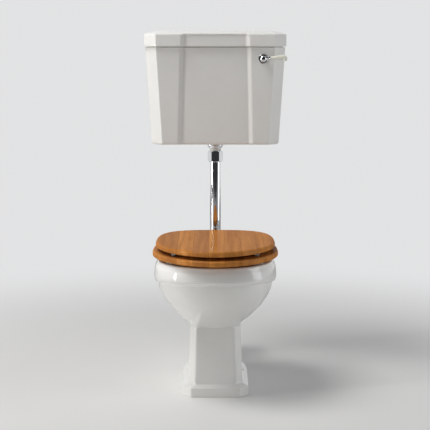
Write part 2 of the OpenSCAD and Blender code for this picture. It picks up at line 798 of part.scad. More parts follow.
module hinge_rod_caps() color(chrome) for (side = [-1, 1])
    translate([side * rod_half, hinge_y, hinge_z]) rotate([0, side * 90, 0]) difference() {
        union() {
            translate([0, 0, -4]) cylinder(d = knuckle_d, h = 5);
            translate([0, 0, 1]) cylinder(d1 = knuckle_d, d2 = knuckle_d - 6, h = 4);
        }
        translate([0, 0, -5]) cylinder(d = rod_d, h = 5);
    }

module hinge_studs() color(chrome) pair(hinge_x)
    translate([0, hinge_y, pan_h - deck_t - stud_below])
        cylinder(d = stud_d, h = deck_t + stud_below + stud_in_pillar);

module hinge_washers() color(rubber) pair(hinge_x)
    translate([0, hinge_y, pan_h - deck_t - hinge_washer_t])
        washer(hinge_washer_d, stud_d, hinge_washer_t);

module hinge_wing_nuts() color(brass) pair(hinge_x)
    translate([0, hinge_y, pan_h - deck_t - hinge_washer_t - wing_nut_h]) {
        washer(wing_nut_d, stud_d, wing_nut_h);
        for (side = [-1, 1]) difference() {
            translate([side * wing_d, -wing_t / 2, 0]) along_y() cylinder(d = wing_d, h = wing_t);
            translate([0, 0, -wing_d]) cylinder(d = wing_nut_d - 2, h = 3 * wing_d);
        }
    }

// A knuckle on the rod with a leaf that runs forward at height z
module hinge_leaf(x, z) for (side = [-1, 1])
    translate([side < 0 ? -x - leaf_w : x, 0, 0]) difference() {
        union() {
            translate([0, hinge_y, hinge_z]) along_x() cylinder(d = knuckle_d, h = leaf_w);
            translate([0, hinge_y - leaf_l + leaf_w / 2, z]) cube([leaf_w, leaf_l - leaf_w / 2, leaf_t]);
            translate([leaf_w / 2, hinge_y - leaf_l + leaf_w / 2, z])
                cylinder(d = leaf_w, h = leaf_t);
        }
        translate([-1, hinge_y, hinge_z]) along_x()
            cylinder(d = rod_d + 2 * running, h = leaf_w + 2);
        for (s = leaf_screws) translate([leaf_w / 2, hinge_y - s * leaf_l / 70, z - 1])
            cylinder(d = screw_d, h = leaf_t + 2);
    }
module ring_hinge_leaves() color(chrome) hinge_leaf(ring_leaf_x, ring_top);
module lid_hinge_leaves() color(chrome) hinge_leaf(cover_leaf_x, cover_z - leaf_t);

// Round-headed wood screws, heads on the leaf
module ring_hinge_screws() color(chrome) {
    screw_holes(ring_leaf_x, ring_top - screw_l, screw_l + leaf_t);
    for (side = [-1, 1], s = leaf_screws)
        translate([side * (ring_leaf_x + leaf_w / 2), hinge_y - s * leaf_l / 70, ring_top + leaf_t])
            cylinder(d1 = screw_head_d, d2 = screw_neck_d, h = screw_head_h);
}
module lid_hinge_screws() color(chrome) {
    screw_holes(cover_leaf_x, cover_z - leaf_t, screw_l + leaf_t);
    for (side = [-1, 1], s = leaf_screws)
        translate([side * (cover_leaf_x + leaf_w / 2), hinge_y - s * leaf_l / 70,
            cover_z - leaf_t - screw_head_h])
            cylinder(d1 = screw_neck_d, d2 = screw_head_d, h = screw_head_h);
}

// ---- flush lever ----

flange_t = 4;
boss_front = flange_seat_y - flange_t - 20;
grip_start = 22;
grip_rise = 3; // height of the grip's start above the pivot
grip_tilt = 4.5; // upward slope of the grip, in degrees
crank_y = pipe_y - 4;
crank_t = 4;
slot_h = 7;
slot_l = 24;
pin_d = 4;

module lever_flange() color(chrome) translate([lever_x, 0, lever_z]) difference() {
    union() {
        translate([0, flange_seat_y - flange_t, 0]) along_y()
            cylinder(d1 = flange_plate_d - 4, d2 = flange_plate_d, h = flange_t);
        translate([0, flange_seat_y, 0]) along_y() cylinder(d = bush_d, h = tank_wall + 20);
    }
    translate([0, flange_seat_y - 30, 0]) along_y()
        cylinder(d = spindle_d + 2 * running, h = tank_wall + 60);
}

module lever_flange_nut() color(brass)
    translate([lever_x, tank_front(lever_z) + tank_wall + 1, lever_z])
        along_y() hex_nut(27, bush_d, 7);

// Domed boss with a socket for the grip
module lever_boss() color(chrome) translate([lever_x, 0, lever_z]) difference() {
    union() {
        translate([0, boss_front + 3, 0]) along_y() cylinder(d = 20, h = 16.7);
        translate([0, boss_front, 0]) along_y() cylinder(d1 = 14, d2 = 20, h = 3);
        translate([0, boss_front + 9, grip_rise]) along_x()
            cylinder(d1 = 11, d2 = 8, h = grip_start);
        translate([grip_start - 4, boss_front + 9, grip_rise]) along_x()
            cylinder(d = 10, h = 4);
    }
    translate([0, boss_front + 6, 0]) along_y() cylinder(d = spindle_d, h = 30);
}

// Tapered ceramic grip that rises a little, full and turned down at its end
module lever_grip() color(cream)
    translate([lever_x + grip_start, boss_front + 9, lever_z + grip_rise]) {
        l = lever_l - grip_start - grip_d / 2;
        rise = l * tan(grip_tilt);
        rotate([0, -grip_tilt, 0]) along_x()
            cylinder(d1 = 8.5, d2 = grip_d, h = l / cos(grip_tilt));
        translate([l, 0, rise]) sphere(d = grip_d);
        translate([l, 0, rise - 4]) sphere(d = grip_d);
        translate([l - 0.5, 0, rise - 8]) sphere(d = grip_d - 2);
    }

module lever_spindle() color(brass) translate([lever_x, boss_front + 6, lever_z])
    along_y() cylinder(d = spindle_d, h = crank_y + crank_t + 4 - boss_front - 6);

module lever_crank() color(brass) translate([lever_x, crank_y - crank_t / 2, lever_z]) difference() {
    tip = crank_l + slot_l - 5;
    union() {
        translate([0, -2, 0]) along_y() cylinder(d = 18, h = crank_t + 4);
        translate([-tip, 0, -7]) cube([tip, crank_t, 14]);
        translate([-tip, 0, 0]) along_y() cylinder(d = 14, h = crank_t);
    }
    translate([0, -3, 0]) along_y() cylinder(d = spindle_d, h = crank_t + 6);
    // slot for the link's pin, round at both ends
    translate([-crank_l - slot_l + slot_h - 1, -1, -slot_h / 2])
        cube([slot_l - slot_h, crank_t + 2, slot_h]);
    for (x = [-crank_l - slot_l + slot_h - 1, -crank_l - 1])
        translate([x, -1, 0]) along_y() cylinder(d = slot_h, h = crank_t + 2);
    translate([0, crank_t / 2, 4]) cylinder(d = 4, h = 10);
}

module crank_screw() color(brass) translate([lever_x, crank_y, lever_z + spindle_d / 2])
    difference() {
        union() {
            cylinder(d = 4, h = 8);
            translate([0, 0, 5.5]) cylinder(d = 7, h = 3);
        }
        translate([-4, -0.5, 7.5]) cube([8, 1, 2]);
    }

// ---- siphon ----

chamber_low = tank_floor + 4;
chamber_top = chamber_low + chamber_h;
bend_z = tank_floor + limb_h;
piston_z = chamber_low + 9;
lift_d = 6;

// The bent tube's outlet limb from a height up, and its half turn
module siphon_tube(d, low) {
    translate([0, 0, low]) cylinder(d = d, h = bend_z - low);
    translate([limb_bend, 0, bend_z]) rotate([90, 0, 0])
        rotate_extrude(angle = 180) translate([limb_bend, 0]) circle(d = d);
}

module siphon_body() color(plastic) translate([0, pipe_y, 0]) difference() {
    union() {
        translate([0, 0, tail_end]) cylinder(d = tail_d, h = tank_floor - tail_end + 6);
        translate([0, 0, tank_floor + washer_t]) cylinder(d = outlet_hole + 14, h = 5);
        siphon_tube(limb_d, tank_floor + washer_t);
        translate([limb_x, 0, chamber_top - 2]) cylinder(d = limb_d, h = bend_z - chamber_top + 2);
        translate([chamber_x, 0, chamber_low]) cylinder(d = chamber_d, h = chamber_h);
    }
    bore = limb_d - 2 * siphon_wall;
    translate([0, 0, tail_end - 1]) cylinder(d = tail_d - 8, h = 60);
    siphon_tube(bore, tank_floor + 8);
    translate([limb_x, 0, chamber_top - siphon_wall - 1])
        cylinder(d = bore, h = bend_z - chamber_top + siphon_wall + 1);
    translate([chamber_x, 0, chamber_low - 1])
        cylinder(d = chamber_d - 2 * siphon_wall, h = chamber_h - siphon_wall + 1);
    translate([lift_x, 0, chamber_top - 10]) cylinder(d = lift_d + 2 * loose, h = 20);
}

module siphon_seal() color(rubber) translate([0, pipe_y, tank_floor])
    washer(outlet_hole + 12, tail_d, washer_t);

module siphon_piston() color(plastic) translate([chamber_x, pipe_y, piston_z]) difference() {
    union() {
        cylinder(d = chamber_d - 2 * siphon_wall - 1, h = 3);
        translate([lift_x - chamber_x, 0, -5]) cylinder(d = 14, h = 8);
    }
    translate([lift_x - chamber_x, 0, -6]) cylinder(d = lift_d, h = 12);
    for (a = [90:40:290]) rotate([0, 0, a]) translate([22, 0, -1]) cylinder(d = 9, h = 5);
}

module siphon_diaphragm() color(rubber) translate([chamber_x, pipe_y, piston_z + 3]) difference() {
    cylinder(d = chamber_d - 2 * siphon_wall - 4, h = 0.8);
    translate([lift_x - chamber_x, 0, -1]) cylinder(d = lift_d, h = 3);
}

module lift_rod() color(chrome) translate([lift_x, pipe_y, piston_z - 5])
    cylinder(d = lift_d, h = lever_z - 22 - piston_z + 5);

// Flat link on the rod's end, with a headed pin through the crank's slot
module lift_link() color(brass) translate([lift_x, pipe_y, lever_z]) {
    difference() {
        translate([0, 0, -34]) cylinder(d = 12, h = 18);
        translate([0, 0, -35]) cylinder(d = lift_d, h = 13);
    }
    translate([-5, -1, -17]) cube([10, 3, 17]);
    translate([0, -1, 0]) along_y() cylinder(d = 10, h = 3);
    translate([0, -9, 0]) along_y() cylinder(d = pin_d, h = 9);
    translate([0, -10.5, 0]) along_y() cylinder(d = 9, h = 2.5);
}

// ---- float valve ----

valve_y = wall_y - valve_from_wall;
block_w = 24;
barrel_l = 65;
pivot_x = -valve_x + 44;
pivot_z = valve_z - 18;
toe_r = 16;
toe_d = 4.8;
toe_neck = 2.2;
piston_d = 14;
piston_x = pivot_x + toe_r * sin(float_droop / 2);
piston_half = 13;
inside_flange_t = 3.5;
inside_flange_d = 34;
inlet_behind = 33;
valve_nut_af = 30;
valve_nut_h = 7;
inlet_groove = 2;
valve_washer_t = 2;

module fill_valve_body() color(brass) difference() {
    union() {
        translate([-valve_x - block_w / 2, valve_y - block_w / 2, valve_z - block_w / 2])
            cube(block_w);
        translate([-valve_x, valve_y, valve_z]) along_y()
            cylinder(d = inlet_d, h = valve_from_wall + inlet_behind);
        translate([-valve_x, valve_seat_y - valve_washer_t - inside_flange_t, valve_z]) along_y()
            cylinder(d = inside_flange_d, h = inside_flange_t);
        translate([-valve_x, valve_y, valve_z]) along_x()
            cylinder(d = 22, h = barrel_l);
        for (side = [-1, 1]) translate([pivot_x, valve_y + side * 5.5 - 2, 0]) {
            translate([-5, 0, pivot_z]) cube([10, 4, valve_z - pivot_z]);
            translate([0, 0, pivot_z]) along_y() cylinder(d = 10, h = 4);
        }
    }
    translate([-valve_x, valve_y, valve_z]) along_y() cylinder(d = 13, h = valve_from_wall + 40);
    // groove where the thread for the tap connector starts
    translate([-valve_x, wall_y, valve_z]) along_y()
        washer(inlet_d + 4, inlet_d - 2, inlet_groove);
    translate([-valve_x, valve_y, valve_z]) along_x() cylinder(d = 6, h = 40);
    translate([-valve_x + 22.5, valve_y, valve_z]) along_x()
        cylinder(d = piston_d + 2 * running, h = 60);
    translate([pivot_x - 9, valve_y - 3.5, valve_z - 20]) cube([18, 7, 22]);
    translate([pivot_x, valve_y - 10, pivot_z]) along_y() cylinder(d = 4, h = 20);
}

module fill_valve_washer() color(rubber)
    translate([-valve_x, valve_seat_y - valve_washer_t, valve_z])
        along_y() washer(inside_flange_d - 2, inlet_d, valve_washer_t);

module fill_valve_backnut() color(brass)
    translate([-valve_x, wall_y - pocket_depth, valve_z]) along_y()
        hex_nut(valve_nut_af, inlet_d, valve_nut_h);

module fill_valve_pivot() color(brass) translate([pivot_x, valve_y, pivot_z]) {
    translate([0, -9, 0]) along_y() cylinder(d = 4, h = 18);
    translate([0, -10, 0]) along_y() cylinder(d = 7, h = 2.5);
}

module valve_piston() color(brass) difference() {
    translate([piston_x - piston_half, valve_y, valve_z]) along_x()
        cylinder(d = piston_d, h = 2 * piston_half);
    translate([piston_x - toe_d / 2 - loose, valve_y - 10, valve_z - 10])
        cube([toe_d + 2 * loose, 20, 13]);
}

module valve_seal() color(rubber) translate([piston_x - piston_half - 3, valve_y, valve_z])
    along_x() cylinder(d = 11, h = 3);

module float_arm() color(brass) translate([pivot_x, valve_y, pivot_z]) {
    difference() {
        union() {
            translate([0, -2.9, 0]) along_y() cylinder(d = 10, h = 5.8);
            rotate([0, float_droop / 2, 0]) {
                translate([-toe_neck / 2, -2.4, 0]) cube([toe_neck, 4.8, toe_r]);
                translate([0, -2.4, toe_r]) along_y() cylinder(d = toe_d, h = 4.8);
            }
            rotate([0, float_droop, 0]) along_x() cylinder(d = 5, h = float_arm_l - float_d / 2 - 6);
            rotate([0, float_droop, 0]) along_x()
                cylinder(d = 4, h = float_arm_l - float_d / 2 + 6);
        }
        translate([0, -5, 0]) along_y() cylinder(d = 4 + 2 * running, h = 10);
    }
}

// Hollow ball with a threaded stub towards the arm
module float_ball() color([0.85, 0.42, 0.12])
    translate([pivot_x, valve_y, pivot_z]) rotate([0, float_droop, 0])
        translate([float_arm_l, 0, 0]) difference() {
            union() {
                sphere(d = float_d);
                translate([-float_d / 2 - 2, 0, 0]) along_x() cylinder(d = 12, h = 12);
            }
            sphere(d = float_d - 4);
            translate([-float_d / 2 - 3, 0, 0]) along_x() cylinder(d = 4, h = 9);
        }

module float_nut() color(brass) translate([pivot_x, valve_y, pivot_z]) rotate([0, float_droop, 0])
    translate([float_arm_l - float_d / 2 - 6, 0, 0]) along_x() hex_nut(8, 4, 3.5);

pan_bowl();
pan_trap();
pan_pedestal();
tank();
tank_lid();
seat_ring();
seat_lid();
flush_pipe();
flush_pipe_nut();
flush_pipe_olive();
flush_cone();
outlet_backnut();
outlet_washer();
soil_connector();
connector_seal();
hinge_pillars();
hinge_rod();
hinge_rod_caps();
hinge_studs();
hinge_washers();
hinge_wing_nuts();
ring_hinge_leaves();
ring_hinge_screws();
seat_buffers();
lid_hinge_leaves();
lid_hinge_screws();
lid_buffers();
lever_flange();
lever_flange_nut();
lever_boss();
lever_grip();
lever_spindle();
lever_crank();
crank_screw();
lift_link();
lift_rod();
siphon_piston();
siphon_diaphragm();
siphon_body();
siphon_seal();
fill_valve_body();
fill_valve_washer();
fill_valve_backnut();
fill_valve_pivot();
valve_piston();
valve_seal();
float_arm();
float_ball();
float_nut();
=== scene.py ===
# %% [markdown]
# # A low-level toilet suite
# This lesson dresses the CAD model of a traditional toilet suite: a glazed china pan on a
# pedestal, an oak seat and lid, a chromed flush pipe and a hanging cistern with a lever.
# The CAD model comes first. It is the frame that every piece is fitted to: it gives the
# sizes, and it knows how the parts move. A piece of our own stands in for a CAD part where
# the real surface is softer or richer than the CAD's facets.

# %% Load the frame
import math

import bpy
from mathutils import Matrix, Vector


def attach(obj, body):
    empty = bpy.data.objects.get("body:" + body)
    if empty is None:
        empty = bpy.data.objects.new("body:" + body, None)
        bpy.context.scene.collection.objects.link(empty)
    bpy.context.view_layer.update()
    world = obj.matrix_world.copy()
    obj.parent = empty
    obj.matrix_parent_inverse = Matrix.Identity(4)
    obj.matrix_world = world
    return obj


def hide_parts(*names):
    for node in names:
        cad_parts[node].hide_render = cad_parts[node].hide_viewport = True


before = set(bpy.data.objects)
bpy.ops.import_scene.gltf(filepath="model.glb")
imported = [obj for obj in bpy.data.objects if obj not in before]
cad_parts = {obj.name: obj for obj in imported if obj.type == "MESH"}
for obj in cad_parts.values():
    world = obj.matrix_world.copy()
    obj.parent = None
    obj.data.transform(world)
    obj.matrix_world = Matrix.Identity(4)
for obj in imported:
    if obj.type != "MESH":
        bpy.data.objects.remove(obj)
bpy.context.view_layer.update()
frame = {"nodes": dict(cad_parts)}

node = frame["nodes"]

# %% [markdown]
# ## Camera
# The photograph was taken with a long lens, a little above the cistern's middle and looking
# slightly down. A 100 mm lens from 3.6 m gives the same widths at the cistern and the foot.
# The picture needs no lens shift: tilting the camera by under 8 degrees frames the suite.

# %% Camera
camera_data = bpy.data.cameras.new("studio_camera")
camera_data.lens = 100.0
tilt_down = 7.67
camera = bpy.data.objects.new("studio_camera", camera_data)
camera.location = (-0.001, -3.618, 1.005)
camera.rotation_euler = (math.radians(90 - tilt_down), 0, 0)
bpy.context.scene.collection.objects.link(camera)
bpy.context.scene.camera = camera
bpy.context.scene.view_settings.view_transform = "Standard"
print("camera", tuple(round(v, 3) for v in camera.location), "lens", camera_data.lens)

# %% [markdown]
# ## Helpers for node trees
# Floor, world and finishes are all built from nodes, joined by links. Written out in full
# each link takes a line of its own, so small helpers carry that work: one feeds values or
# other nodes into a node's inputs, one adds a node, and one starts a material. A fourth
# tells the rays that the eye sees from those that only carry light.

# %% Helpers for node trees
def feed(node, inputs):
    """Gives inputs of a node, by name or number, a plain value or another node's output."""
    for key, value in inputs.items():
        if isinstance(value, bpy.types.NodeSocket):
            node.id_data.links.new(value, node.inputs[key])
        else:
            node.inputs[key].default_value = value


def add(tree, kind, **values):
    """A node with some of its properties set or its inputs fed."""
    new = tree.nodes.new(kind)
    for key, value in values.items():
        if key in new.inputs:
            feed(new, {key: value})
        else:
            setattr(new, key, value)
    return new


def new_material(name):
    """An empty node material: the material, its node tree and its Principled shader."""
    made = bpy.data.materials.new(name)
    made.use_nodes = True
    return made, made.node_tree, made.node_tree.nodes["Principled BSDF"]


def seen_directly(tree):
    """1 for rays from the camera or through clear rubber, 0 for all others."""
    rays = add(tree, "ShaderNodeLightPath")
    either = add(tree, "ShaderNodeMath", operation="MAXIMUM")
    feed(either, {0: rays.outputs["Is Camera Ray"], 1: rays.outputs["Is Transmission Ray"]})
    return rays, either.outputs[0]


print("node helpers are ready")

# %% [markdown]
# ## The floor
# The suite stands on a plain pale floor. A wide sheet is enough. Its material is a very light
# grey with a faint mottle, so that it doesn't look like paper. Far from the suite the sheet
# fades to the same pale tone as the background, so no horizon line cuts the picture, while
# near the foot it keeps the shadow. The tone is a little darker than white: china is nearly
# white itself, and its edges would be lost against a white background.

# %% Floor
PAPER = (0.76, 0.765, 0.77, 1)
FLOOR_REACH, FADE_START, FADE_END = 4.2, 0.45, 2.2

floor_mesh = bpy.data.meshes.new("floor")
floor_mesh.from_pydata([(x * FLOOR_REACH, y * FLOOR_REACH, 0)
                        for x, y in ((-1, -1), (1, -1), (1, 1), (-1, 1))], [], [(0, 1, 2, 3)])
floor = bpy.data.objects.new("floor", floor_mesh)
bpy.context.scene.collection.objects.link(floor)

floor_material, tree, shader = new_material("pale_floor")
place_on_floor = add(tree, "ShaderNodeTexCoord").outputs["Object"]
mottle = add(tree, "ShaderNodeTexNoise", Scale=2.2, Detail=6.0, Vector=place_on_floor)
tint = add(tree, "ShaderNodeMix", data_type="RGBA", A=(0.80, 0.80, 0.79, 1),
           B=(0.84, 0.84, 0.83, 1), Factor=mottle.outputs["Fac"])
feed(shader, {"Base Color": tint.outputs["Result"], "Roughness": 0.55})
distance = add(tree, "ShaderNodeVectorMath", operation="LENGTH")
feed(distance, {0: place_on_floor})
fade = add(tree, "ShaderNodeMapRange", interpolation_type="SMOOTHERSTEP")
feed(fade, {"From Min": FADE_START, "From Max": FADE_END, "Value": distance.outputs["Value"]})
share = add(tree, "ShaderNodeMath", operation="MULTIPLY")
feed(share, {0: fade.outputs["Result"], 1: seen_directly(tree)[1]})
pale_paper = add(tree, "ShaderNodeEmission", Color=PAPER, Strength=1.0)
floor_mix = add(tree, "ShaderNodeMixShader")
feed(floor_mix, {"Fac": share.outputs[0], 1: shader.outputs[0], 2: pale_paper.outputs[0]})
feed(tree.nodes["Material Output"], {"Surface": floor_mix.outputs[0]})
floor_mesh.materials.append(floor_material)
print("floor", 2 * FLOOR_REACH, "m wide, fades out from", FADE_START, "to", FADE_END, "m")

# %% [markdown]
# ## The room around it
# The tone behind the object comes from the world's colour for camera rays, never from more
# light. What the chrome mirrors is another matter: polished metal needs something dark to
# mirror, or it looks like plastic. So mirrored rays see a room that has the background's
# pale tone behind the suite and is dark behind the camera.

# %% World
DARK_SIDE = (0.035, 0.036, 0.038, 1)

world = bpy.data.worlds.new("studio")
bpy.context.scene.world = world
world.use_nodes = True
tree = world.node_tree
tree.nodes.clear()
output = add(tree, "ShaderNodeOutputWorld")
soft_light = add(tree, "ShaderNodeBackground", Color=(0.97, 0.98, 1.0, 1), Strength=0.17)
pale_paper = add(tree, "ShaderNodeBackground", Color=PAPER, Strength=1.0)
direction = add(tree, "ShaderNodeTexCoord")
axes = add(tree, "ShaderNodeSeparateXYZ")
feed(axes, {0: direction.outputs["Generated"]})
towards_back = add(tree, "ShaderNodeMapRange", interpolation_type="SMOOTHSTEP")
feed(towards_back, {"From Min": -0.45, "From Max": 0.30, "Value": axes.outputs["Y"]})
room = add(tree, "ShaderNodeMix", data_type="RGBA", A=DARK_SIDE, B=PAPER,
           Factor=towards_back.outputs["Result"])
mirrored_room = add(tree, "ShaderNodeBackground", Strength=1.0, Color=room.outputs["Result"])
rays, direct = seen_directly(tree)
mirror_mix = add(tree, "ShaderNodeMixShader")
feed(mirror_mix, {"Fac": rays.outputs["Is Glossy Ray"], 1: soft_light.outputs[0],
                  2: mirrored_room.outputs[0]})
camera_mix = add(tree, "ShaderNodeMixShader")
feed(camera_mix, {"Fac": direct, 1: mirror_mix.outputs[0], 2: pale_paper.outputs[0]})
feed(output, {"Surface": camera_mix.outputs[0]})
print("world has", len(tree.nodes), "nodes")

# %% [markdown]
# ## Lamps
# The light comes low from far to the left and nearly grazes the fronts: the left chamfers
# are brightest, the fronts are grey, and the glaze shows one small upright highlight. A
# tall, narrow lamp far out there does the same. A high soft lamp adds light from above the
# left, and a broad pale card at the right lifts the right-hand chamfers and gives the
# chrome its wide white band.

# %% Lamps
def softbox(name, place, aim, size, power, tint=(1, 1, 1)):
    """A rectangular area lamp at a place, turned towards a point."""
    lamp = bpy.data.lights.new(name, "AREA")
    lamp.shape = "RECTANGLE"
    lamp.size, lamp.size_y = size
    lamp.energy = power
    lamp.color = tint
    holder = bpy.data.objects.new(name, lamp)
    holder.location = place
    holder.rotation_euler = (Vector(aim) - Vector(place)).to_track_quat("-Z", "Y").to_euler()
    bpy.context.scene.collection.objects.link(holder)


softbox("low_lamp_left", (-4.5, -1.25, 0.92), (0, 0, 0.6), (0.4, 1.7), 84, (1.0, 0.985, 0.96))
softbox("high_lamp_left", (-1.3, -0.4, 3.1), (0, 0, 0.5), (1.3, 1.3), 55, (1.0, 0.99, 0.975))
softbox("card_right", (2.7, -0.55, 1.0), (0, 0, 0.6), (1.3, 1.9), 21, (0.97, 0.985, 1.0))
print(len(bpy.data.lights), "lamps")

# %% [markdown]
# ## Tools for skins
# China, wood and ceramics are smooth solids without flat ends or even edges. All of them can
# be described by rings: a row of points round the shape, repeated at many heights. Joining
# each ring to the next with four-sided faces makes a skin. It keeps full control of every
# edge radius, which bevels on a rough block would not.

# %% Skins from rings
MM = 0.001


def make_object(name, points, faces):
    """A mesh object with smooth shading."""
    mesh = bpy.data.meshes.new(name)
    mesh.from_pydata([tuple(p) for p in points], [], faces)
    mesh.validate()
    mesh.polygons.foreach_set("use_smooth", [True] * len(mesh.polygons))
    made = bpy.data.objects.new(name, mesh)
    bpy.context.scene.collection.objects.link(made)
    return made


def skin(name, rings, caps=True, loop=False):
    """Rings of (x, y, z) in mm, all with the same count, joined in order into a skin."""
    count = len(rings[0])
    points = [Vector(p) * MM for ring in rings for p in ring]
    faces = []
    for k in range(len(rings) if loop else len(rings) - 1):
        low, high = k * count, (k + 1) % len(rings) * count
        for i in range(count):
            j = (i + 1) % count
            faces.append((low + i, low + j, high + j, high + i))
    if caps and not loop:
        faces.append(tuple(range(count - 1, -1, -1)))
        faces.append(tuple(range((len(rings) - 1) * count, len(rings) * count)))
    return make_object(name, points, faces)


print("skin() is ready")

# %% [markdown]
# ## Tools for curves and outlines
# Two helpers give the rings good points. One draws a smooth curve through a few measured
# places, as a bent batten does. The other takes an outline with corners and turns each
# corner into an arc of a set radius, so every edge has its own softness.

# %% Curves and rounded outlines
def mix(a, b, t):
    return a + (b - a) * t


def eased(points, steps):
    """A smooth curve (Catmull-Rom) through some tuples, with steps between each two."""
    out = []
    last = len(points) - 1
    for k in range(last):
        a, b = points[max(k - 1, 0)], points[k]
        c, d = points[k + 1], points[min(k + 2, last)]
        for s in range(steps):
            t = s / steps
            out.append(tuple(
                0.5 * (2 * q + (r - p) * t + (2 * p - 5 * q + 4 * r - u) * t * t
                       + (3 * q - 3 * r + u - p) * t * t * t)
                for p, q, r, u in zip(a, b, c, d)))
    return out + [tuple(points[-1])]


def softened(corners, steps=6):
    """A closed outline of (x, y, radius) with each corner turned into an arc."""
    out = []
    for i, (x, y, radius) in enumerate(corners):
        here = Vector((x, y))
        back = (Vector(corners[i - 1][:2]) - here).normalized()
        on = (Vector(corners[(i + 1) % len(corners)][:2]) - here).normalized()
        turn = math.pi - back.angle(on)
        if radius <= 0 or turn < 0.01:
            out.append((x, y))
            continue
        reach = radius * math.tan(turn / 2)
        centre = here + (back + on).normalized() * radius / math.cos(turn / 2)
        first, final = here + back * reach - centre, here + on * reach - centre
        for s in range(steps + 1):
            t = s / steps
            spot = centre + (first * math.sin((1 - t) * turn)
                             + final * math.sin(t * turn)) / math.sin(turn)
            out.append((spot.x, spot.y))
    return out


print("curve helpers are ready")

# %% [markdown]
# ## Tools for joining and drilling
# Some shapes are two solids joined, or a solid with a hole through it. Blender's Boolean
# modifier does both. The Manifold solver is fast and exact for closed skins such as ours.

# %% Joining and drilling
def apply_modifiers(piece):
    """Turns a piece's modifiers into plain mesh."""
    shaped = bpy.data.meshes.new_from_object(
        piece.evaluated_get(bpy.context.evaluated_depsgraph_get()))
    piece.modifiers.clear()
    old, piece.data = piece.data, shaped
    bpy.data.meshes.remove(old)


def combine(piece, others, operation):
    """Joins others to piece (UNION), cuts them out (DIFFERENCE) or keeps what both share."""
    for other in others:
        change = piece.modifiers.new("combine", "BOOLEAN")
        change.operation, change.solver, change.object = operation, "MANIFOLD", other
        bpy.context.view_layer.update()
        apply_modifiers(piece)
        bpy.data.objects.remove(other)
    return piece


print("combine() is ready")

# %% [markdown]
# ## Tools for bars and turned pieces
# A bent pipe, a lever and a screw hole are all rings along a line. A tube follows a path
# with a radius at each point. A turned piece is the same along a straight axis, just as a
# lathe makes it, so its profile can be typed in as it would be drawn.

# %% Bars and turned pieces
UP, BACKWARD, SIDEWAYS = (0, 0, 1), (0, 1, 0), (1, 0, 0)


def tube(name, path, radii, sides=48):
    """A round bar along points in mm, with a radius at each point and flat ends."""
    rings = []
    across = None
    for k, here in enumerate(path):
        after, before = path[min(k + 1, len(path) - 1)], path[max(k - 1, 0)]
        along = (Vector(after) - Vector(before)).normalized()
        if across is None:
            across = along.orthogonal().normalized()
        across = (across - along * across.dot(along)).normalized()
        upright = along.cross(across)
        rings.append([Vector(here) + radii[k] * (across * math.cos(a) + upright * math.sin(a))
                      for a in (2 * math.pi * i / sides for i in range(sides))])
    return skin(name, rings)


def turned(name, centre, axis, profile, sides=64):
    """A turned solid: (distance along the axis, radius) points in mm from a centre."""
    start, along = Vector(centre), Vector(axis).normalized()
    return tube(name, [start + along * (d + 1e-5 * k) for k, (d, _) in enumerate(profile)],
                [r for _, r in profile], sides)


print("tube() and turned() are ready")

# %% [markdown]
# ## Tools for shading and placing
# After a cut the shading needs care: edges sharper than a set angle are marked sharp, and
# normals weighted by face area keep the large faces flat right up to their rounded edges.
# Each finished piece is then given its place in the model by one helper.

# %% Shading and placing
def finish_shading(piece, angle=38, weighted=True):
    """Marks sharp edges and lets large faces rule the normals."""
    mesh = piece.data
    mesh.polygons.foreach_set("use_smooth", [True] * len(mesh.polygons))
    mesh.set_sharp_from_angle(angle=math.radians(angle))
    if weighted:
        change = piece.modifiers.new("weighted normals", "WEIGHTED_NORMAL")
        change.keep_sharp = True
        change.weight = 60


def place(piece, body, slot_name, finish, *replaced):
    """Gives a piece its body, finish and the CAD parts it stands for; slot_name is not used."""
    piece.data.materials.clear()
    piece.data.materials.append(finish)
    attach(piece, body)
    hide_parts(*replaced)


print("finish_shading() and place() are ready")

# %% [markdown]
# ## The pan: outer form
# The pan is one casting: an egg-shaped bowl that sweeps up from a waist, a deep plain rim
# band, and a pedestal with chamfered corners that ends in a plinth.
# Two ways are open: join a bowl and a pedestal with a Boolean, or make one skin that is the
# larger of the two at each height and in each direction. A Boolean leaves a knife-sharp
# seam. The single skin can round the seam as the glaze does, so it's chosen here. The bowl's
# outline at each height is an egg, and its reach in a direction is found by halving steps.

# %% Pan: the bowl's outlines
CENTRE_Y = -60.0
rim_lip, rim_top, waist = 317.0, 404.0, 203.5
RIM_RISE = 36.0
WIDEST_Y = -90.5


def swell(u):
    """How far the bowl has swelled from waist (0) to rim (1), with u = 1 at the waist."""
    return 1 - u ** 1.68


def lifted(y):
    """Share of the rim's rise at a place: all at the front, fading out towards the rear."""
    t = min(max((y + 301) / 340, 0.0), 1.0)
    return 1 - t * t * (3 - 2 * t)


def bowl_egg(z):
    """The bowl's outline at a height: half width, front, rear, widest place, power, lift."""
    u = (rim_lip - 3 - z) / 110.5
    s = swell(u)
    return (mix(73, 169.1, s), -mix(163, 287, s), mix(0, 82, s), mix(-80, WIDEST_Y, 1 - u), 2.6,
            RIM_RISE * max(0.0, 1 - u))


def rim_egg(z, inset):
    """The rim band's outline at a height, moved inwards."""
    lift = RIM_RISE * ((rim_top - z) / 87) ** 1.5 if z < rim_top else 0.0
    return 182.25 - inset, -301 + inset, 139 - inset, WIDEST_Y, 3.0, lift


def egg_reach(egg, angle):
    """Distance from the pan's axis to an egg's edge in a direction, and the edge's lift."""
    half, front, rear, wide, power, lift = egg
    c, s = math.cos(angle), math.sin(angle)
    near, far = 0.0, 420.0
    for _ in range(26):
        r = (near + far) / 2
        y = CENTRE_Y + r * s - wide
        p, length = (power, rear - wide) if y > 0 else (2.4, wide - front)
        if abs(r * c / half) ** p + abs(y / length) ** p < 1:
            near = r
        else:
            far = r
    return near, lift * lifted(CENTRE_Y + near * s)


print("bowl reaches", [round(egg_reach(rim_egg(rim_top, 0), math.radians(a))[0])
                       for a in (0, 90, 270)], "mm sideways, back and front at its rim")

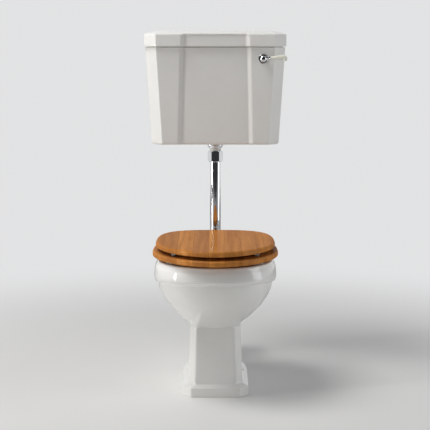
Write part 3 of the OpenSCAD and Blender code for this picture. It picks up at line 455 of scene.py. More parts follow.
# %% [markdown]
# ## The pan: pedestal outline
# The pedestal has a flat front, two chamfered corners, straight sides and a full round rear
# end. Each column of points follows one corner of it all the way up, so the chamfers stay
# crisp. The long straight runs get points of their own, because the bowl needs them above.

# %% Pan: the pedestal's outline
def run(start, end, count):
    """Points on a straight line, without its two ends."""
    return [(mix(start[0], end[0], t / count), mix(start[1], end[1], t / count))
            for t in range(1, count)]


def pedestal_outline(half, front, rear, flat, edge=12.0):
    """Chamfered front and a full, rounded rear end; flat is half the front face's width."""
    side = front + half - flat
    bends = softened([(-half, 0, 0), (-half, side, edge), (-flat, front, edge),
                      (flat, front, edge), (half, side, edge), (half, 0, 0)], 4)
    left, corners, right = bends[0], [bends[k:k + 5] for k in (1, 6, 11, 16)], bends[-1]
    out = [left] + run(left, corners[0][0], 26) + corners[0]
    for k, count in ((1, 8), (2, 30), (3, 8)):
        out += run(out[-1], corners[k][0], count) + corners[k]
    out += run(out[-1], right, 26)
    for k in range(80):
        a = math.pi * k / 80
        c = math.cos(a)
        out.append((half * math.copysign(abs(c) ** 0.7, c), rear * max(math.sin(a), 0.0) ** 0.7))
    return out


def smooth_max(a, b, k):
    """The larger of two values, with a rounded change from one to the other."""
    h = max(k - abs(a - b), 0.0) / k
    return max(a, b) + h * h * k / 4


print("pedestal outline has", len(pedestal_outline(99, -194, 177.5, 72)), "points")

# %% [markdown]
# ## The pan: plinth foot
# The foot is a slab with a sloping shoulder up to the shaft. It's the same outline at eleven
# heights, and a share from 0 to 1 says how far each has drawn in from slab to shaft. Steps
# close together at the two bends of the shoulder make them round.

# %% Pan: plinth foot
foot_steps = [(0, 0.006), (0.9, 0), (25.4, 0), (26.7, 0.02), (27.7, 0.07), (28.4, 0.14),
              (31.4, 0.5), (34.3, 0.84), (35.4, 0.925), (36.9, 0.98), (39.5, 1)]
shaft_low = foot_steps[-1][0]
pan_rows = []
for z, f in foot_steps:
    outline = pedestal_outline(mix(99, 79.75, f), mix(-194, -177, f), mix(177.5, 159.5, f),
                               mix(72, 60.25, f), mix(7, 12, f))
    pan_rows.append([(x, y, z) for x, y in outline])
print("foot:", len(pan_rows), "rows of", len(pan_rows[0]), "points")

# %% [markdown]
# ## The pan: shaft and bowl
# From here up, each point lies at the larger of two distances from the pan's axis: to the
# pedestal and to the bowl. Where both are nearly equal a smooth maximum rounds the seam. The
# pedestal must end somewhere inside the bowl's sweep, so its outline is drawn in over a few
# rows, by the amounts listed for its rear and its front. Above it only the bowl is left, and
# the columns of points turn back step by step to the directions that they had at the waist.

# %% Pan: shaft and bowl
shaft_heights = list(range(50, 171, 20)) + [180, 186.5, 191.5, 195.5, 198.5, 201.5]
bowl_heights = [203.5, 205.5, 208, 211, 214.5, 218.5, 223, 227.5, 232, 236, 239, 241.3, 243.1,
                244.9, 246.7, 248.9, 251.5, 254, 256, 258, 261, 266, 272, 278, 285, 293, 300,
                306, 310, 312.5, 314]
pedestal_end = 266
drawn_in_behind = {232: 0.6, 236: 2.5, 239: 6, 241.3: 12, 243.1: 24, 244.9: 44, 246.7: 68,
                   248.9: 95}
drawn_in_front = {251.5: 0.4, 254: 2, 256: 5, 258: 10, 261: 24, 266: 60}
for z in shaft_heights + bowl_heights:
    egg = bowl_egg(z)
    up = min(max((z - waist) / 50, 0.0), 1.0)
    if z <= pedestal_end:
        t = (z - shaft_low) / (waist - shaft_low)
        half, front, rear = mix(79.75, 75, t), mix(-177, -160, t), mix(159.5, 153.5, t)
        flat = mix(60.25, 55.5, t)
        if z > waist:
            half, rear = mix(75, 71, up), mix(153.5, 135.5, min(1.0, (z - waist) / 40))
            front, flat = egg[1] + 3, mix(55.5, 41, up)
        outline = pedestal_outline(half, front, rear, flat)
        directions = [math.atan2(y - CENTRE_Y, x) for x, y in outline]
        if abs(z - waist) < 0.1:
            waist_directions = directions
    row = []
    for k, angle in enumerate(directions):
        if z > pedestal_end:
            turn = (waist_directions[k] - angle + math.pi) % (2 * math.pi) - math.pi
            angle += turn * min(1.0, (z - pedestal_end) / 44)
        r, lift = egg_reach(egg, angle) if z > 178 else (0.0, 0.0)
        if z <= pedestal_end:
            x, y = outline[k]
            if math.sin(angle) > 0:
                drawn_in = drawn_in_behind.get(z, 0.0 if z < 250 else 120.0)
            else:
                drawn_in = drawn_in_front.get(z, 0.0)
            r = smooth_max(math.hypot(x, y - CENTRE_Y) - drawn_in, r,
                           mix(3.5, 15, 0.5 + 0.5 * math.sin(angle)))
        row.append((r * math.cos(angle), CENTRE_Y + r * math.sin(angle), z + lift))
    pan_rows.append(row)
print("up to the bowl's top:", len(pan_rows), "rows")

# %% [markdown]
# ## The pan: rim band
# The deep rim band stands out from the bowl with a rolled lower edge. A few measured places
# give its section, and a smooth curve through them gives the rows. Three rows in between
# lead from the bowl's last outline to the band's first, so that no gap is left in the skin.

# %% Pan: rim band
BOWL_TOP = bowl_heights[-1]
band = eased([(317.6, 10.9), (321, 7.9), (326, 3.8), (343, 0), (376, 2.2), (392, 7), (400, 9.6),
              (403, 12.2), (404, 16)], 4)
for t in (0.25, 0.5, 0.75):
    egg = tuple(mix(a, b, t) for a, b in zip(bowl_egg(BOWL_TOP), rim_egg(317, 12.8)))
    pan_rows.append([(r * math.cos(a), CENTRE_Y + r * math.sin(a), mix(BOWL_TOP, 317, t) + lift)
                     for a in waist_directions for r, lift in [egg_reach(egg, a)]])
for z, inset in [(317, 12.8)] + band:
    pan_rows.append([(r * math.cos(a), CENTRE_Y + r * math.sin(a), z + lift)
                     for a in waist_directions for r, lift in [egg_reach(rim_egg(z, inset), a)]])
pan = skin("china_pan", pan_rows)
print("pan skin:", len(pan_rows), "rows of", len(pan_rows[0]), "points")

# %% [markdown]
# ## The pan: hollows and waterways
# Real china is a shell about 10 mm thick. The bowl, the open channel under the rim, the
# water trap and the space inside the pedestal are all hollows. Each is made as a solid of
# its own shape and cut out, just as cores and plaster moulds shape the wet clay. The bowl's
# cavity comes first: egg-shaped rings from the throat up to the rim's inner lip.

# %% Pan: the bowl's cavity
def egg_ring(z, half, front, rear, wide, rear_power, lift=0.0, front_power=2.4, count=144):
    """An egg-shaped ring: half width, front, rear, widest place and roundness of each end."""
    ring = []
    for i in range(count):
        a = 2 * math.pi * i / count
        c, s = math.cos(a), math.sin(a)
        p = 2 / (rear_power if s > 0 else front_power)
        length = rear - wide if s > 0 else wide - front
        y = wide + length * math.copysign(abs(s) ** p, s)
        ring.append((half * math.copysign(abs(c) ** p, c), y, z + lift * lifted(y)))
    return ring


def bowl_inside_egg(z, thick):
    """The bowl's outline moved inwards by the china's thickness."""
    half, front, rear, wide, power, lift = bowl_egg(z)
    return (half - thick, front + thick, rear - thick, wide, power, lift)


def box(name, x0, x1, y0, y1, z0, z1):
    corners = [(x, y) for x, y in ((x0, y0), (x1, y0), (x1, y1), (x0, y1))]
    return skin(name, [[(x, y, z) for x, y in corners] for z in (z0, z1)])


bowl_heights_inside = [314 - 110.5 * u for u in
                       (1, 0.95, 0.9, 0.82, 0.72, 0.6, 0.48, 0.36, 0.25, 0.15, 0.06, 0)]
cavity_rings = [(135, 40, -90, -10, -50, 2, 0, 2), (144, 40.5, -92, -9.5, -51, 2, 0, 2),
                (160, 44, -103, -8, -55, 2.1, 0, 2.1), (175.5, 48, -110, -7, -58, 2.2)]
cavity_rings += [(z + 10,) + bowl_inside_egg(z, 10) for z in bowl_heights_inside[1:-1]]
cavity_rings += [(z, half, front, rear, WIDEST_Y, power, lift)
                 for z, half, front, rear, power, lift in (
                     (321, 158.5, -276, 72, 2.6, 31), (332, 160.5, -278.5, 71, 2.8, 22),
                     (343, 162, -279.5, 70, 3, 12), (354, 162.25, -280, 70, 3, 0),
                     (366, 162.25, -280, 70, 3, 0), (370, 160, -278, 68, 3, 0),
                     (374, 148, -265, 58, 2.8, 0), (376, 136, -252, 48, 2.6, 0),
                     (379, 133.5, -250, 47, 2.6, 0), (396, 133.5, -250, 47, 2.6, 0),
                     (400, 134.4, -251, 48, 2.6, 0), (403, 137, -253.5, 50, 2.6, 0),
                     (404.5, 141, -258, 54, 2.6, 0))]
cavity = skin("bowl_cavity", [egg_ring(*ring) for ring in cavity_rings])
print("bowl cavity:", len(cavity_rings), "rings")

# %% [markdown]
# ## The pan: trap and hollow pedestal
# The trap holds standing water, which keeps the smell of the drain out: it dips below the
# bowl, rises, and turns back to the outlet. One path serves twice, as a thick bar for its
# outside and a thinner one for its bore. The pedestal's hollow is cut everywhere except
# round the bowl, round the trap and along one stiffening web between its two limbs.

# %% Pan: trap and hollow pedestal
def trap_path(end):
    """Down from the throat, round the dip, up the rising limb and back to the outlet."""
    path = [(0, -50, 139), (0, -50, 122)]
    path += [(0, -50 * math.cos(a), 105 - 50 * math.sin(a))
             for a in (math.pi * k / 24 for k in range(25))]
    path += [(0, 50, 120)]
    path += [(0, 100 - 50 * math.cos(a), 135 + 50 * math.sin(a))
             for a in (math.pi / 2 * k / 12 for k in range(13))]
    return path + [(0, 120, 185), (0, end, 185)]


def trap_tube(name, radius, spigot, end):
    """A bar along the trap's path, with another radius where it becomes the outlet."""
    path = trap_path(end)
    return tube(name, path, [spigot if y > 104 and z > 184 else radius for _, y, z in path])


hollow = skin("pedestal_hollow", [
    [(x, y, z) for x, y in pedestal_outline(half, front, rear, half - 19.5, 3)]
    for z, half, front, rear in ((-1, 68.75, -167, 149.5), (203.5, 65, -150, 143.5),
                                 (233.5, 62, -141, 129.5))])
bowl_core_rings = [(135, 49, -99, -1, -50, 2, 0, 2), (166.5, 57, -119, 2, -58, 2.2)]
bowl_core_rings += [(z,) + bowl_egg(z) for z in (203.5, 209, 216, 225, 238, 252)]
bowl_core = skin("bowl_core", [egg_ring(*ring) for ring in bowl_core_rings])
partition = box("trap_partition", -19, 19, -8, 8, 95, 203)
trap_outer = trap_tube("trap_outer", 47, 51, 150)
combine(hollow, [bowl_core, trap_outer, partition], "DIFFERENCE")
arch_outline = [(-50, -1), (50, -1)] + [(50 * math.cos(a), 68 + 50 * math.sin(a))
                                        for a in (math.pi * k / 24 for k in range(25))]
arch = skin("rear_arch", [[(x, y, z) for x, z in arch_outline] for y in (195, 135)])
print("cutters: hollow", len(hollow.data.polygons), "faces, arch", len(arch.data.polygons))

# %% [markdown]
# ## The pan: joined and cut
# The order matters. First the inside of the pedestal and the arch behind it are cut out,
# then outlet and flush horn are joined on, and only then the waterways and screw holes are
# drilled, so that each bore runs clean through all that it has to pass.

# %% Pan: joined and cut
HINGE_X, HINGE_Y, ROD_Z = 77.5, 107.5, 430.7
FLOOR_SCREW_X = 86
spigot = turned("outlet_spigot", (0, 120, 185), BACKWARD,
                [(0, 51), (73.8, 51), (74.9, 50.5), (75.5, 49.4)], 96)
horn = turned("flush_horn", (0, 72, 345), BACKWARD,
              [(0, 29), (58, 33), (64, 30.5), (70, 29.2), (96, 29), (97.4, 28.4), (98, 27.2)], 96)
combine(pan, [hollow, arch], "DIFFERENCE")
combine(pan, [spigot, horn], "UNION")
bores = [cavity, trap_tube("trap_bore", 38, 38, 210),
         turned("horn_bore", (0, 57, 345), BACKWARD, [(0, 23), (120, 23)], 64)]
for side in (-1, 1):
    bores += [
        box("nut_hollow", side * HINGE_X - 32, side * HINGE_X + 32, 83.5, 127.5, 297, 384),
        turned("hinge_hole", (side * HINGE_X, HINGE_Y, 380), UP, [(0, 5.5), (30, 5.5)], 32),
        turned("floor_hole", (side * FLOOR_SCREW_X, 0, -3), UP, [(0, 3.75), (50, 3.75)], 32)]
combine(pan, bores, "DIFFERENCE")
finish_shading(pan, 33)
print("pan:", len(pan.data.polygons), "faces, box",
      [round(v * 1000) for v in pan.dimensions])

# %% [markdown]
# ## The cistern
# The cistern is a china box that widens a little towards the top and the front. Its front
# corners are chamfered and its middle panel is sunk, with a soft S-shaped riser at each
# side. A plain box with bevels can't hold such a riser, so the front edge of each ring is
# sampled closely there and pushed in by a smooth step. At the top, the last rings step in at
# the front and the sides, which leaves a raised inner part of the rim for the lid.

# %% Cistern: rings with the sunk panel
cistern_low, cistern_high = 720.0, 1028.0
BACK_Y, FRONT_LOW, FRONT_HIGH = 337.5, 159.5, 142.5
PANEL_SINK, RISER = 6.5, 17.0


def smooth_step(t):
    t = min(max(t, 0.0), 1.0)
    return t * t * (3 - 2 * t)


def sink(x, z):
    """Depth of the sunk panel at a place on the front: flat, with a soft S at each side."""
    half = mix(113, 105, (z - cistern_low) / (cistern_high - cistern_low))
    return PANEL_SINK * smooth_step((half + RISER / 2 - abs(x)) / RISER)


front_samples = [0, 30, 60, 80, 88]
front_samples += [91 + 1.4 * k for k in range(24)] + [126, 133, 142, 152]
front_samples = [-x for x in reversed(front_samples[1:])] + front_samples


def cistern_outline(half, front, chamfer, inset, back=BACK_Y, edge=5.0, rear_edge=3.0):
    """Front edge with its samples, two chamfers, sides and the flat back."""
    h, f, c = half - inset, front + inset, chamfer - 0.586 * inset
    edge = min(edge, 1.5 * c)
    round_corners = softened([(-h + c, f, edge), (h - c, f, edge), (h, f + c, edge),
                              (h, back, rear_edge), (-h, back, rear_edge), (-h, f + c, edge)], 4)
    left, rest = round_corners[:5], round_corners[5:]
    scale = min(1.0, (h - c - 4) / 158)
    return left + [(x * scale if abs(x) > 125 else x, f) for x in front_samples] + rest


def cistern_ring(z, inset, sunk=True, **edges):
    """One ring of the cistern, moved inwards, with or without the sunk panel."""
    t = (z - cistern_low) / (cistern_high - cistern_low)
    front = mix(FRONT_LOW, FRONT_HIGH, t)
    ring = cistern_outline(mix(202, 220.5, t), front, 34, inset, **edges)
    return [(x, y + (sink(x, z) if sunk and abs(y - front - inset) < 0.01 else 0.0), z)
            for x, y in ring]


def inner_ring(z, inset, edge, rear_edge, at=None):
    """The same without the panel and clear of the back; at can take another height's size."""
    ring = cistern_ring(z if at is None else at, inset, sunk=False, back=BACK_Y - inset,
                        edge=edge, rear_edge=rear_edge)
    return [(x, y, z) for x, y, _ in ring]


bottom_edge = [(720 + 9 * (1 - math.cos(a)), 9 * (1 - math.sin(a)) * 0.8)
               for a in (math.pi / 2 * k / 6 for k in range(7))]
rim_edge = [(1023.6, 0), (1024.9, 0.4), (1025.7, 1.3), (1026, 2.4), (1026, 6.0),
            (1026.4, 6.5), (1028, 6.6)]
cistern_levels = bottom_edge + [(z, 0) for z in range(745, 1020, 24)] + rim_edge
cistern = skin("china_cistern", [cistern_ring(z, inset) for z, inset in cistern_levels])
print("cistern skin:", len(cistern_levels), "rings")

# %% [markdown]
# ## The cistern: inside and holes
# The inside is a second, smaller skin that is cut out. Round the water inlet the china is
# thicker, so a boss is first taken off that cutter. At the mouth the cutter widens a little,
# which eases the rim's inner edge. Then come the holes: inlet, outlet, lever and two screws.

# %% Cistern: inside and holes
inner_levels = [(732, 22), (732.4, 18), (734, 14.2), (737, 11.4), (742, 10), (1026.6, 10),
                (1027.5, 9.5), (1029.5, 8)]
inside = skin("cistern_inside", [inner_ring(z, inset, 12, 12) for z, inset in inner_levels])
inlet_x, inlet_z = -185, 965
PIPE_Y = 242.5
combine(inside, [turned("inlet_boss", (inlet_x, 317.5, inlet_z), BACKWARD,
                        [(0, 28), (1, 30), (3, 31), (8, 31.5), (30, 33)], 64)], "DIFFERENCE")
lever_x, lever_z, flange_y = 149.5, 990.0, 145.65
holes = [
    turned("inlet_pocket", (inlet_x, 329.5, inlet_z), BACKWARD, [(0, 22.4), (0.7, 23), (9, 23)]),
    turned("inlet_hole", (inlet_x, 312, inlet_z), BACKWARD, [(0, 10.95), (30, 10.95)]),
    turned("outlet_hole", (0, PIPE_Y, 715), UP, [(0, 20), (25, 20)]),
    turned("lever_hole", (lever_x, 120, lever_z), BACKWARD, [(0, 9.3), (50, 9.3)]),
    turned("flange_seat", (lever_x, flange_y - 20, lever_z), BACKWARD, [(0, 16.5), (20, 16.5)])]
holes += [turned("screw_hole", (x, 320, 995), BACKWARD, [(0, 4), (20, 4)], 32)
          for x in (-120, 120)]
combine(cistern, [inside] + holes, "DIFFERENCE")
finish_shading(cistern, 33)
print("cistern:", len(cistern.data.polygons), "faces, box",
      [round(v * 1000) for v in cistern.dimensions])

# %% [markdown]
# ## The cistern's lid
# The lid rests on the raised inner part of the cistern's rim, which leaves a thin dark joint
# at the front and the sides. Above the joint it has an upright fascia over a small
# under-lip, then a convex bevel up to a flat top. The sunk panel runs on up the fascia and
# ends there in two rounded hooks. Its rings are built like the cistern's, so the two line
# up. Underneath, a rib drops inside the cistern's mouth and keeps the lid in place.

# %% Cistern lid
LID_HALF, LID_FRONT = 223.5, 132.5
lid_levels = [(1028, 9.4), (1028.8, 9.3), (1029.2, 8.8), (1029.2, 1.8), (1029.5, 0.9),
              (1030, 0.3), (1030.9, 0)]
lid_levels += [(z, 0) for z in range(1033, 1050, 4)] + [(z, 0) for z in range(1050, 1065, 2)]
lid_levels += [(1065.4, 0.2), (1066.3, 0.8), (1067, 1.7)]
lid_levels += [(1067 + 13 * (1 - (1 - t / 62) ** 1.9), t)
               for t in (3, 5, 8, 12, 17, 23, 30, 38, 46, 53, 58)] + [(1080, 61.5)]


def lid_sink(x, z, radius=9.0):
    """The panel on the fascia: each side bends inwards at the top in a rounded hook."""
    dx, dz = 101.5 + RISER / 2 - abs(x), 1069.5 - z
    inside = dx
    if dx < radius and dz < radius:
        inside = radius - math.hypot(radius - dx, radius - dz)
    return PANEL_SINK * smooth_step(inside / RISER) * smooth_step(dz / 7.0)


def lid_ring(z, inset):
    """One ring of the lid; its edges grow rounder towards the top."""
    ring = cistern_outline(LID_HALF, LID_FRONT, 37, inset, edge=mix(4, 7, min(1.0, inset / 40)))
    front = LID_FRONT + inset
    return [(x, y + (lid_sink(x, z) if abs(y - front) < 0.01 else 0.0), z) for x, y in ring]


cistern_lid = skin("china_cistern_lid", [lid_ring(z, inset) for z, inset in lid_levels])
rib = skin("lid_rib", [
    inner_ring(z, inset, 9, 9, at)
    for z, at, inset in ((1020, 1020, 15), (1020.7, 1020.7, 13.6), (1022.5, 1022.5, 13),
                         (1034, cistern_high, 13))])
combine(cistern_lid, [rib], "UNION")
under = skin("lid_hollow", [
    inner_ring(z, inset, 6, 6, cistern_high)
    for z, inset in ((1016, 21), (1035, 21), (1040, 20), (1056, 22), (1066, 38), (1069, 50),
                     (1070, 55))])
combine(cistern_lid, [under], "DIFFERENCE")
finish_shading(cistern_lid, 33)
print("cistern lid:", len(cistern_lid.data.polygons), "faces")

# %% [markdown]
# ## The oak seat and its lid
# Both are planks of glued staves, cut to the pan's egg shape. The lid is a solid plank; the
# ring has a hole whose rim is rounded for comfort. The planks are made of egg-shaped rings:
# each height has its own inset, which draws the edge's radius. The ring is the same idea
# bent round: one section that goes up the outside, over the top and down the hole.

# %% Seat ring and seat lid
def edge_radius(z0, thick, low, high, steps=6):
    """(height, inset) up the edge of a plank: one radius below, a fuller one above."""
    quarter = [math.pi / 2 * k / steps for k in range(steps + 1)]
    return ([(z0 + low * (1 - math.cos(a)), low * (1 - math.sin(a))) for a in quarter]
            + [(z0 + thick - high * (1 - math.sin(a)), high * (1 - math.cos(a))) for a in quarter])


RING_LOW, LID_LOW, LID_THICK = 411.7, 438.7, 15.5


def seat_outline(z, inset, half, front, rear):
    """The outline that ring and lid share, each with its own size."""
    return egg_ring(z, half - inset, front + inset, rear - inset, -96, 3.2, 0, 1.9, count=176)


def ring_hole(z, inset):
    return egg_ring(z, 112 + inset, -227.5 - inset, 22.5 + inset, -102.5, 2.2, 0, 2.2, count=176)


plank_edge = edge_radius(RING_LOW, 16, 3, 6)
ring_section = [seat_outline(z, inset, 187, -319.5, 97.5) for z, inset in plank_edge]
ring_section += [ring_hole(z, inset) for z, inset in reversed(plank_edge)]
seat_ring = skin("oak_seat_ring", ring_section, loop=True)
finish_shading(seat_ring, 50)

lid_edge = edge_radius(LID_LOW, LID_THICK, 3, 7)
lid_rings = [seat_outline(z, inset, 177.5, -313.5, 125.5)
             for z, inset in [(LID_LOW, 30)] + lid_edge + [(LID_LOW + LID_THICK, 30)]]
seat_lid = skin("oak_seat_lid", lid_rings)
finish_shading(seat_lid, 50)
print("seat ring and lid:", len(seat_ring.data.polygons), len(seat_lid.data.polygons), "faces")

# %% [markdown]
# ## The flush lever
# A chromed flange sits on the china and a domed boss turns in it, with a short neck that
# holds the cream glazed grip. These metal pieces are turned on a lathe, so a profile spun
# round an axis is the natural way.

# %% Lever: flange and boss
flange = turned("chrome_lever_flange", (lever_x, flange_y, lever_z), BACKWARD,
                [(-4, 13.2), (-3.8, 13.9), (-3.1, 14.6), (-2.2, 15.2), (-0.9, 15.9), (-0.2, 16),
                 (0, 15.7), (0.01, 9), (30, 9)], 72)
combine(flange, [turned("spindle_bore", (lever_x, flange_y - 30, lever_z), BACKWARD,
                        [(0, 4.06), (80, 4.06)], 48)], "DIFFERENCE")
finish_shading(flange, 40)

boss_y = flange_y - 24
boss_profile = [(0, 0.02), (0.15, 3), (0.8, 6.2), (2.1, 8.3), (4, 9.5), (6.5, 10), (12, 10),
                (13, 9.6), (13.6, 8.6), (14.6, 8.2), (15.6, 8.6), (16.2, 9.6), (17, 10),
                (19.1, 10), (19.6, 9.7)]
boss = turned("chrome_lever_boss", (lever_x, boss_y, lever_z), BACKWARD, boss_profile, 72)
neck = turned("boss_neck", (lever_x + 4, boss_y + 9, lever_z + 3), SIDEWAYS,
              [(0, 5.2), (6, 4.9), (10, 4.1), (12.6, 4.0), (13.4, 4.9), (14.2, 5.3), (16.6, 5.3),
               (17.6, 4.9), (18, 4.2)], 48)
combine(boss, [neck], "UNION")
finish_shading(boss, 40)
print("flange and boss:", len(flange.data.polygons), len(boss.data.polygons), "faces")

# %% [markdown]
# ## The lever's grip
# The grip runs out sideways, swells, and turns down at its end. It isn't round about one
# straight axis, so it can't be turned. It's a bar along a curve, with its own radius at each
# point, and the last few rings shrink along a quarter circle to close it in a dome.

# %% Lever grip
TIP_RADIUS, TIP_LENGTH = 7.0, 6.5
grip_y = boss_y + 9
grip_line = [(20, 2.9, 3.7), (22, 3.0, 4.0), (26, 3.3, 4.5), (34, 3.9, 5.3), (44, 4.7, 6.1),
             (54, 5.5, 6.7), (61, 5.9, 7.1), (65.2, 5.1, 7.4), (67.4, 2.9, 7.4),
             (67.9, -0.4, TIP_RADIUS)]
smooth_grip = [(lever_x + x, lever_z + z, r) for x, z, r in eased(grip_line, 4)]
path = [(x, grip_y, z) for x, z, _ in smooth_grip]
radii = [r for _, _, r in smooth_grip]
tip = Vector(path[-1])
heading = (tip - Vector(path[-3])).normalized()
for a in (15, 30, 45, 58, 70, 80, 87):
    path.append(tuple(tip + heading * TIP_LENGTH * math.sin(math.radians(a))))
    radii.append(TIP_RADIUS * math.cos(math.radians(a)))
grip = tube("ceramic_lever_grip", path, radii, 56)
finish_shading(grip, 60, weighted=False)
print("lever: grip reaches x =", round(max(v.co.x for v in grip.data.vertices) * 1000, 1), "mm")

# %% [markdown]
# ## Nuts under the cistern
# The flush pipe hangs from the siphon's threaded tail by a big six-sided nut, below a
# round backnut flange. A nut is turned on a lathe after its flats are made, which leaves a
# curved arc on each flat. The same is done here: a six-sided prism is intersected with a
# turned, chamfered solid.

# %% Chamfered nuts
NUT_LOW, NUT_HIGH, ACROSS_FLATS = 661.5, 695.5, 43


def hexagon_nut(name, centre, flats, low, high, profile):
    """A six-sided prism about Z that keeps only what lies inside a turned profile."""
    corner = flats / 2 / math.cos(math.pi / 6)
    ring = []
    for k in range(6):
        a, b = (math.radians(60 * q) for q in (k, k + 1))
        for t in (0.0, 0.02, 0.98):
            ring.append((mix(corner * math.cos(a), corner * math.cos(b), t) + centre[0],
                         mix(corner * math.sin(a), corner * math.sin(b), t) + centre[1]))
    prism = skin(name, [[(x, y, z) for x, y in ring] for z in (low, high)])
    return combine(prism, [turned("envelope", (*centre, 0), UP, profile, 96)], "INTERSECT")


pipe_nut = hexagon_nut("chrome_pipe_nut", (0, PIPE_Y), ACROSS_FLATS, NUT_LOW, NUT_HIGH,
                       [(661.4, 22.4), (664.2, 25.2), (692.2, 25.2), (695.6, 21.6)])
collar = turned("nut_collar", (0, PIPE_Y, 0), UP,
                [(659.5, 19.6), (659.9, 20.3), (661.2, 20.5), (663, 20.5)], 72)
combine(pipe_nut, [collar], "UNION")
combine(pipe_nut, [turned("nut_bore", (0, PIPE_Y, 0), UP,
                          [(655, 17.55), (663.4, 17.55), (663.5, 18.1), (700, 18.1)], 72)],
        "DIFFERENCE")
finish_shading(pipe_nut, 30)

backnut = turned("chrome_outlet_backnut", (0, PIPE_Y, 0), UP,
                 [(705.5, 21.4), (706.2, 22.6), (707.6, 23.2), (710.2, 23.25), (711.2, 23.7),
                  (711.9, 24.8), (712.5, 26.4), (713.2, 27.1), (714.6, 27.25), (716, 27.1),
                  (716.5, 26.6)], 96)
combine(backnut, [turned("tail_bore", (0, PIPE_Y, 0), UP, [(700, 18.05), (720, 18.05)], 72)],
        "DIFFERENCE")
finish_shading(backnut, 40)
print("nut and backnut:", len(pipe_nut.data.polygons), len(backnut.data.polygons), "faces")

# %% [markdown]
# ## Hinge pillars
# Each pillar is a domed base with a waist and a barrel that holds the rod: two turned
# pieces joined, then drilled for the rod and for the stud that holds it to the china.

# %% Hinge pillars
pillar_profile = [(404, 14.6), (404.5, 15), (405.6, 15), (406.4, 14.5), (408, 12.6),
                  (410.5, 10.2), (413.5, 8.2), (417, 6.9), (421, 6.2), (426, 6)]
pillars = None
for side in (-1, 1):
    x = side * HINGE_X
    pillar = turned("chrome_hinge_pillars", (x, HINGE_Y, 0), UP, pillar_profile, 56)
    barrel = turned("barrel", (x - 7, HINGE_Y, ROD_Z), SIDEWAYS,
                    [(0, 6.1), (0.4, 6.5), (13.6, 6.5), (14, 6.1)], 56)
    combine(pillar, [barrel], "UNION")
    combine(pillar, [
        turned("rod_bore", (x - 15, HINGE_Y, ROD_Z), SIDEWAYS, [(0, 4), (30, 4)], 40),
        turned("stud_bore", (x, HINGE_Y, 400), UP, [(0, 4), (16, 4)], 40)], "DIFFERENCE")
    pillars = pillar if pillars is None else combine(pillars, [pillar], "UNION")
finish_shading(pillars, 40)
print("pillars:", len(pillars.data.polygons), "faces")

# %% [markdown]
# ## Buffers
# The buffers are short bars with round ends that keep wood off china and wood off wood. They
# are clear and a little soft, so all their edges are round. One function makes a whole set:
# each bar is placed and turned, mirrored to the other side, and joined to the rest.

# %% Buffers
BAR_HALF_LENGTH, BAR_HALF_WIDTH = 15, 6


def buffer_bars(name, places, z0, z1, stem_top):
    """Rounded bars mirrored to both sides, each with a stem up into the wood."""
    joined = None
    height = z1 - z0
    for side in (-1, 1):
        for x, y, turn in places:
            angle = math.radians(side * turn)
            rings = []
            for z, inset in edge_radius(z0, height, 2.2, 1.2, 4):
                outline = softened([(a * (BAR_HALF_LENGTH - inset), b * (BAR_HALF_WIDTH - inset),
                                     5.9 - inset)
                                    for a, b in ((-1, -1), (1, -1), (1, 1), (-1, 1))], 8)
                rings.append([(side * x + p * math.cos(angle) - q * math.sin(angle),
                               y + p * math.sin(angle) + q * math.cos(angle), z)
                              for p, q in outline])
            bar = skin(name, rings)
            stem = turned("stem", (side * x, y, z1 - 1), UP, [(0, 3), (stem_top - z1 + 1, 3)], 24)
            combine(bar, [stem], "UNION")
            joined = bar if joined is None else combine(joined, [bar], "UNION")
    finish_shading(joined, 45)
    return joined


ring_buffers = buffer_bars("clear_seat_buffers", [(128, -216, 40), (126, 18, -12)],
                           404, RING_LOW, 417.5)
lid_buffers = buffer_bars("clear_lid_buffers", [(122, -208, 78), (118, 40, -14)],
                          427.7, LID_LOW, 444.5)
print("buffers:", len(ring_buffers.data.polygons), len(lid_buffers.data.polygons), "faces")

# %% [markdown]
# ## Finishes: how they are built
# Every finish is made of nodes: noise gives it small differences in colour and shine, and a
# bump gives it texture at its true scale. All noise is read from object coordinates in
# metres, so it keeps its scale on every piece and stays put when the piece moves.

# %% Helpers for finishes
def grain_space(tree, stretch=(1, 1, 1)):
    """Object coordinates in metres, squeezed or stretched along each axis."""
    coords = add(tree, "ShaderNodeTexCoord")
    return add(tree, "ShaderNodeMapping", Scale=stretch,
               Vector=coords.outputs["Object"]).outputs["Vector"]


def cloud(tree, where, scale, detail=4.0, rough=0.55, twist=0.0):
    """Soft noise between 0 and 1."""
    return add(tree, "ShaderNodeTexNoise", Scale=scale, Detail=detail, Roughness=rough,
               Distortion=twist, Vector=where).outputs["Fac"]


def remap(tree, value, low, high, to_low=0.0, to_high=1.0):
    """Takes one range of values to another, and holds the ends."""
    made = add(tree, "ShaderNodeMapRange")
    feed(made, {"From Min": low, "From Max": high, "To Min": to_low, "To Max": to_high,
                "Value": value})
    return made.outputs["Result"]


def blend_colours(tree, share, first, second):
    """Two colours mixed by a value; either may be a colour or another node's output."""
    first, second = ((*c, 1) if isinstance(c, tuple) else c for c in (first, second))
    return add(tree, "ShaderNodeMix", data_type="RGBA", A=first, B=second,
               Factor=share).outputs["Result"]


def sums(tree, operation, first, second=0):
    """One arithmetic step on values."""
    made = add(tree, "ShaderNodeMath", operation=operation)
    feed(made, {0: first, 1: second})
    return made.outputs[0]


def relief(tree, height, depth, strength=1.0, over=None):
    """A bump of a depth in metres; over is a finer bump that it adds to."""
    made = add(tree, "ShaderNodeBump", Strength=strength, Distance=depth, Height=height)
    if over is not None:
        feed(made, {"Normal": over})
    return made.outputs["Normal"]


print("finish helpers are ready")

# %% [markdown]
# ## Glazed china
# Vitreous china has a white body under a clear glaze. The glaze is what shines: a thin coat
# over a rougher body, so a coat layer is used and not a low roughness. A glaze is never
# quite flat. It has slow waves some centimetres long and a fine orange-peel texture, which
# bend the reflections. The foot ring that stood in the kiln has no glaze, and is duller.

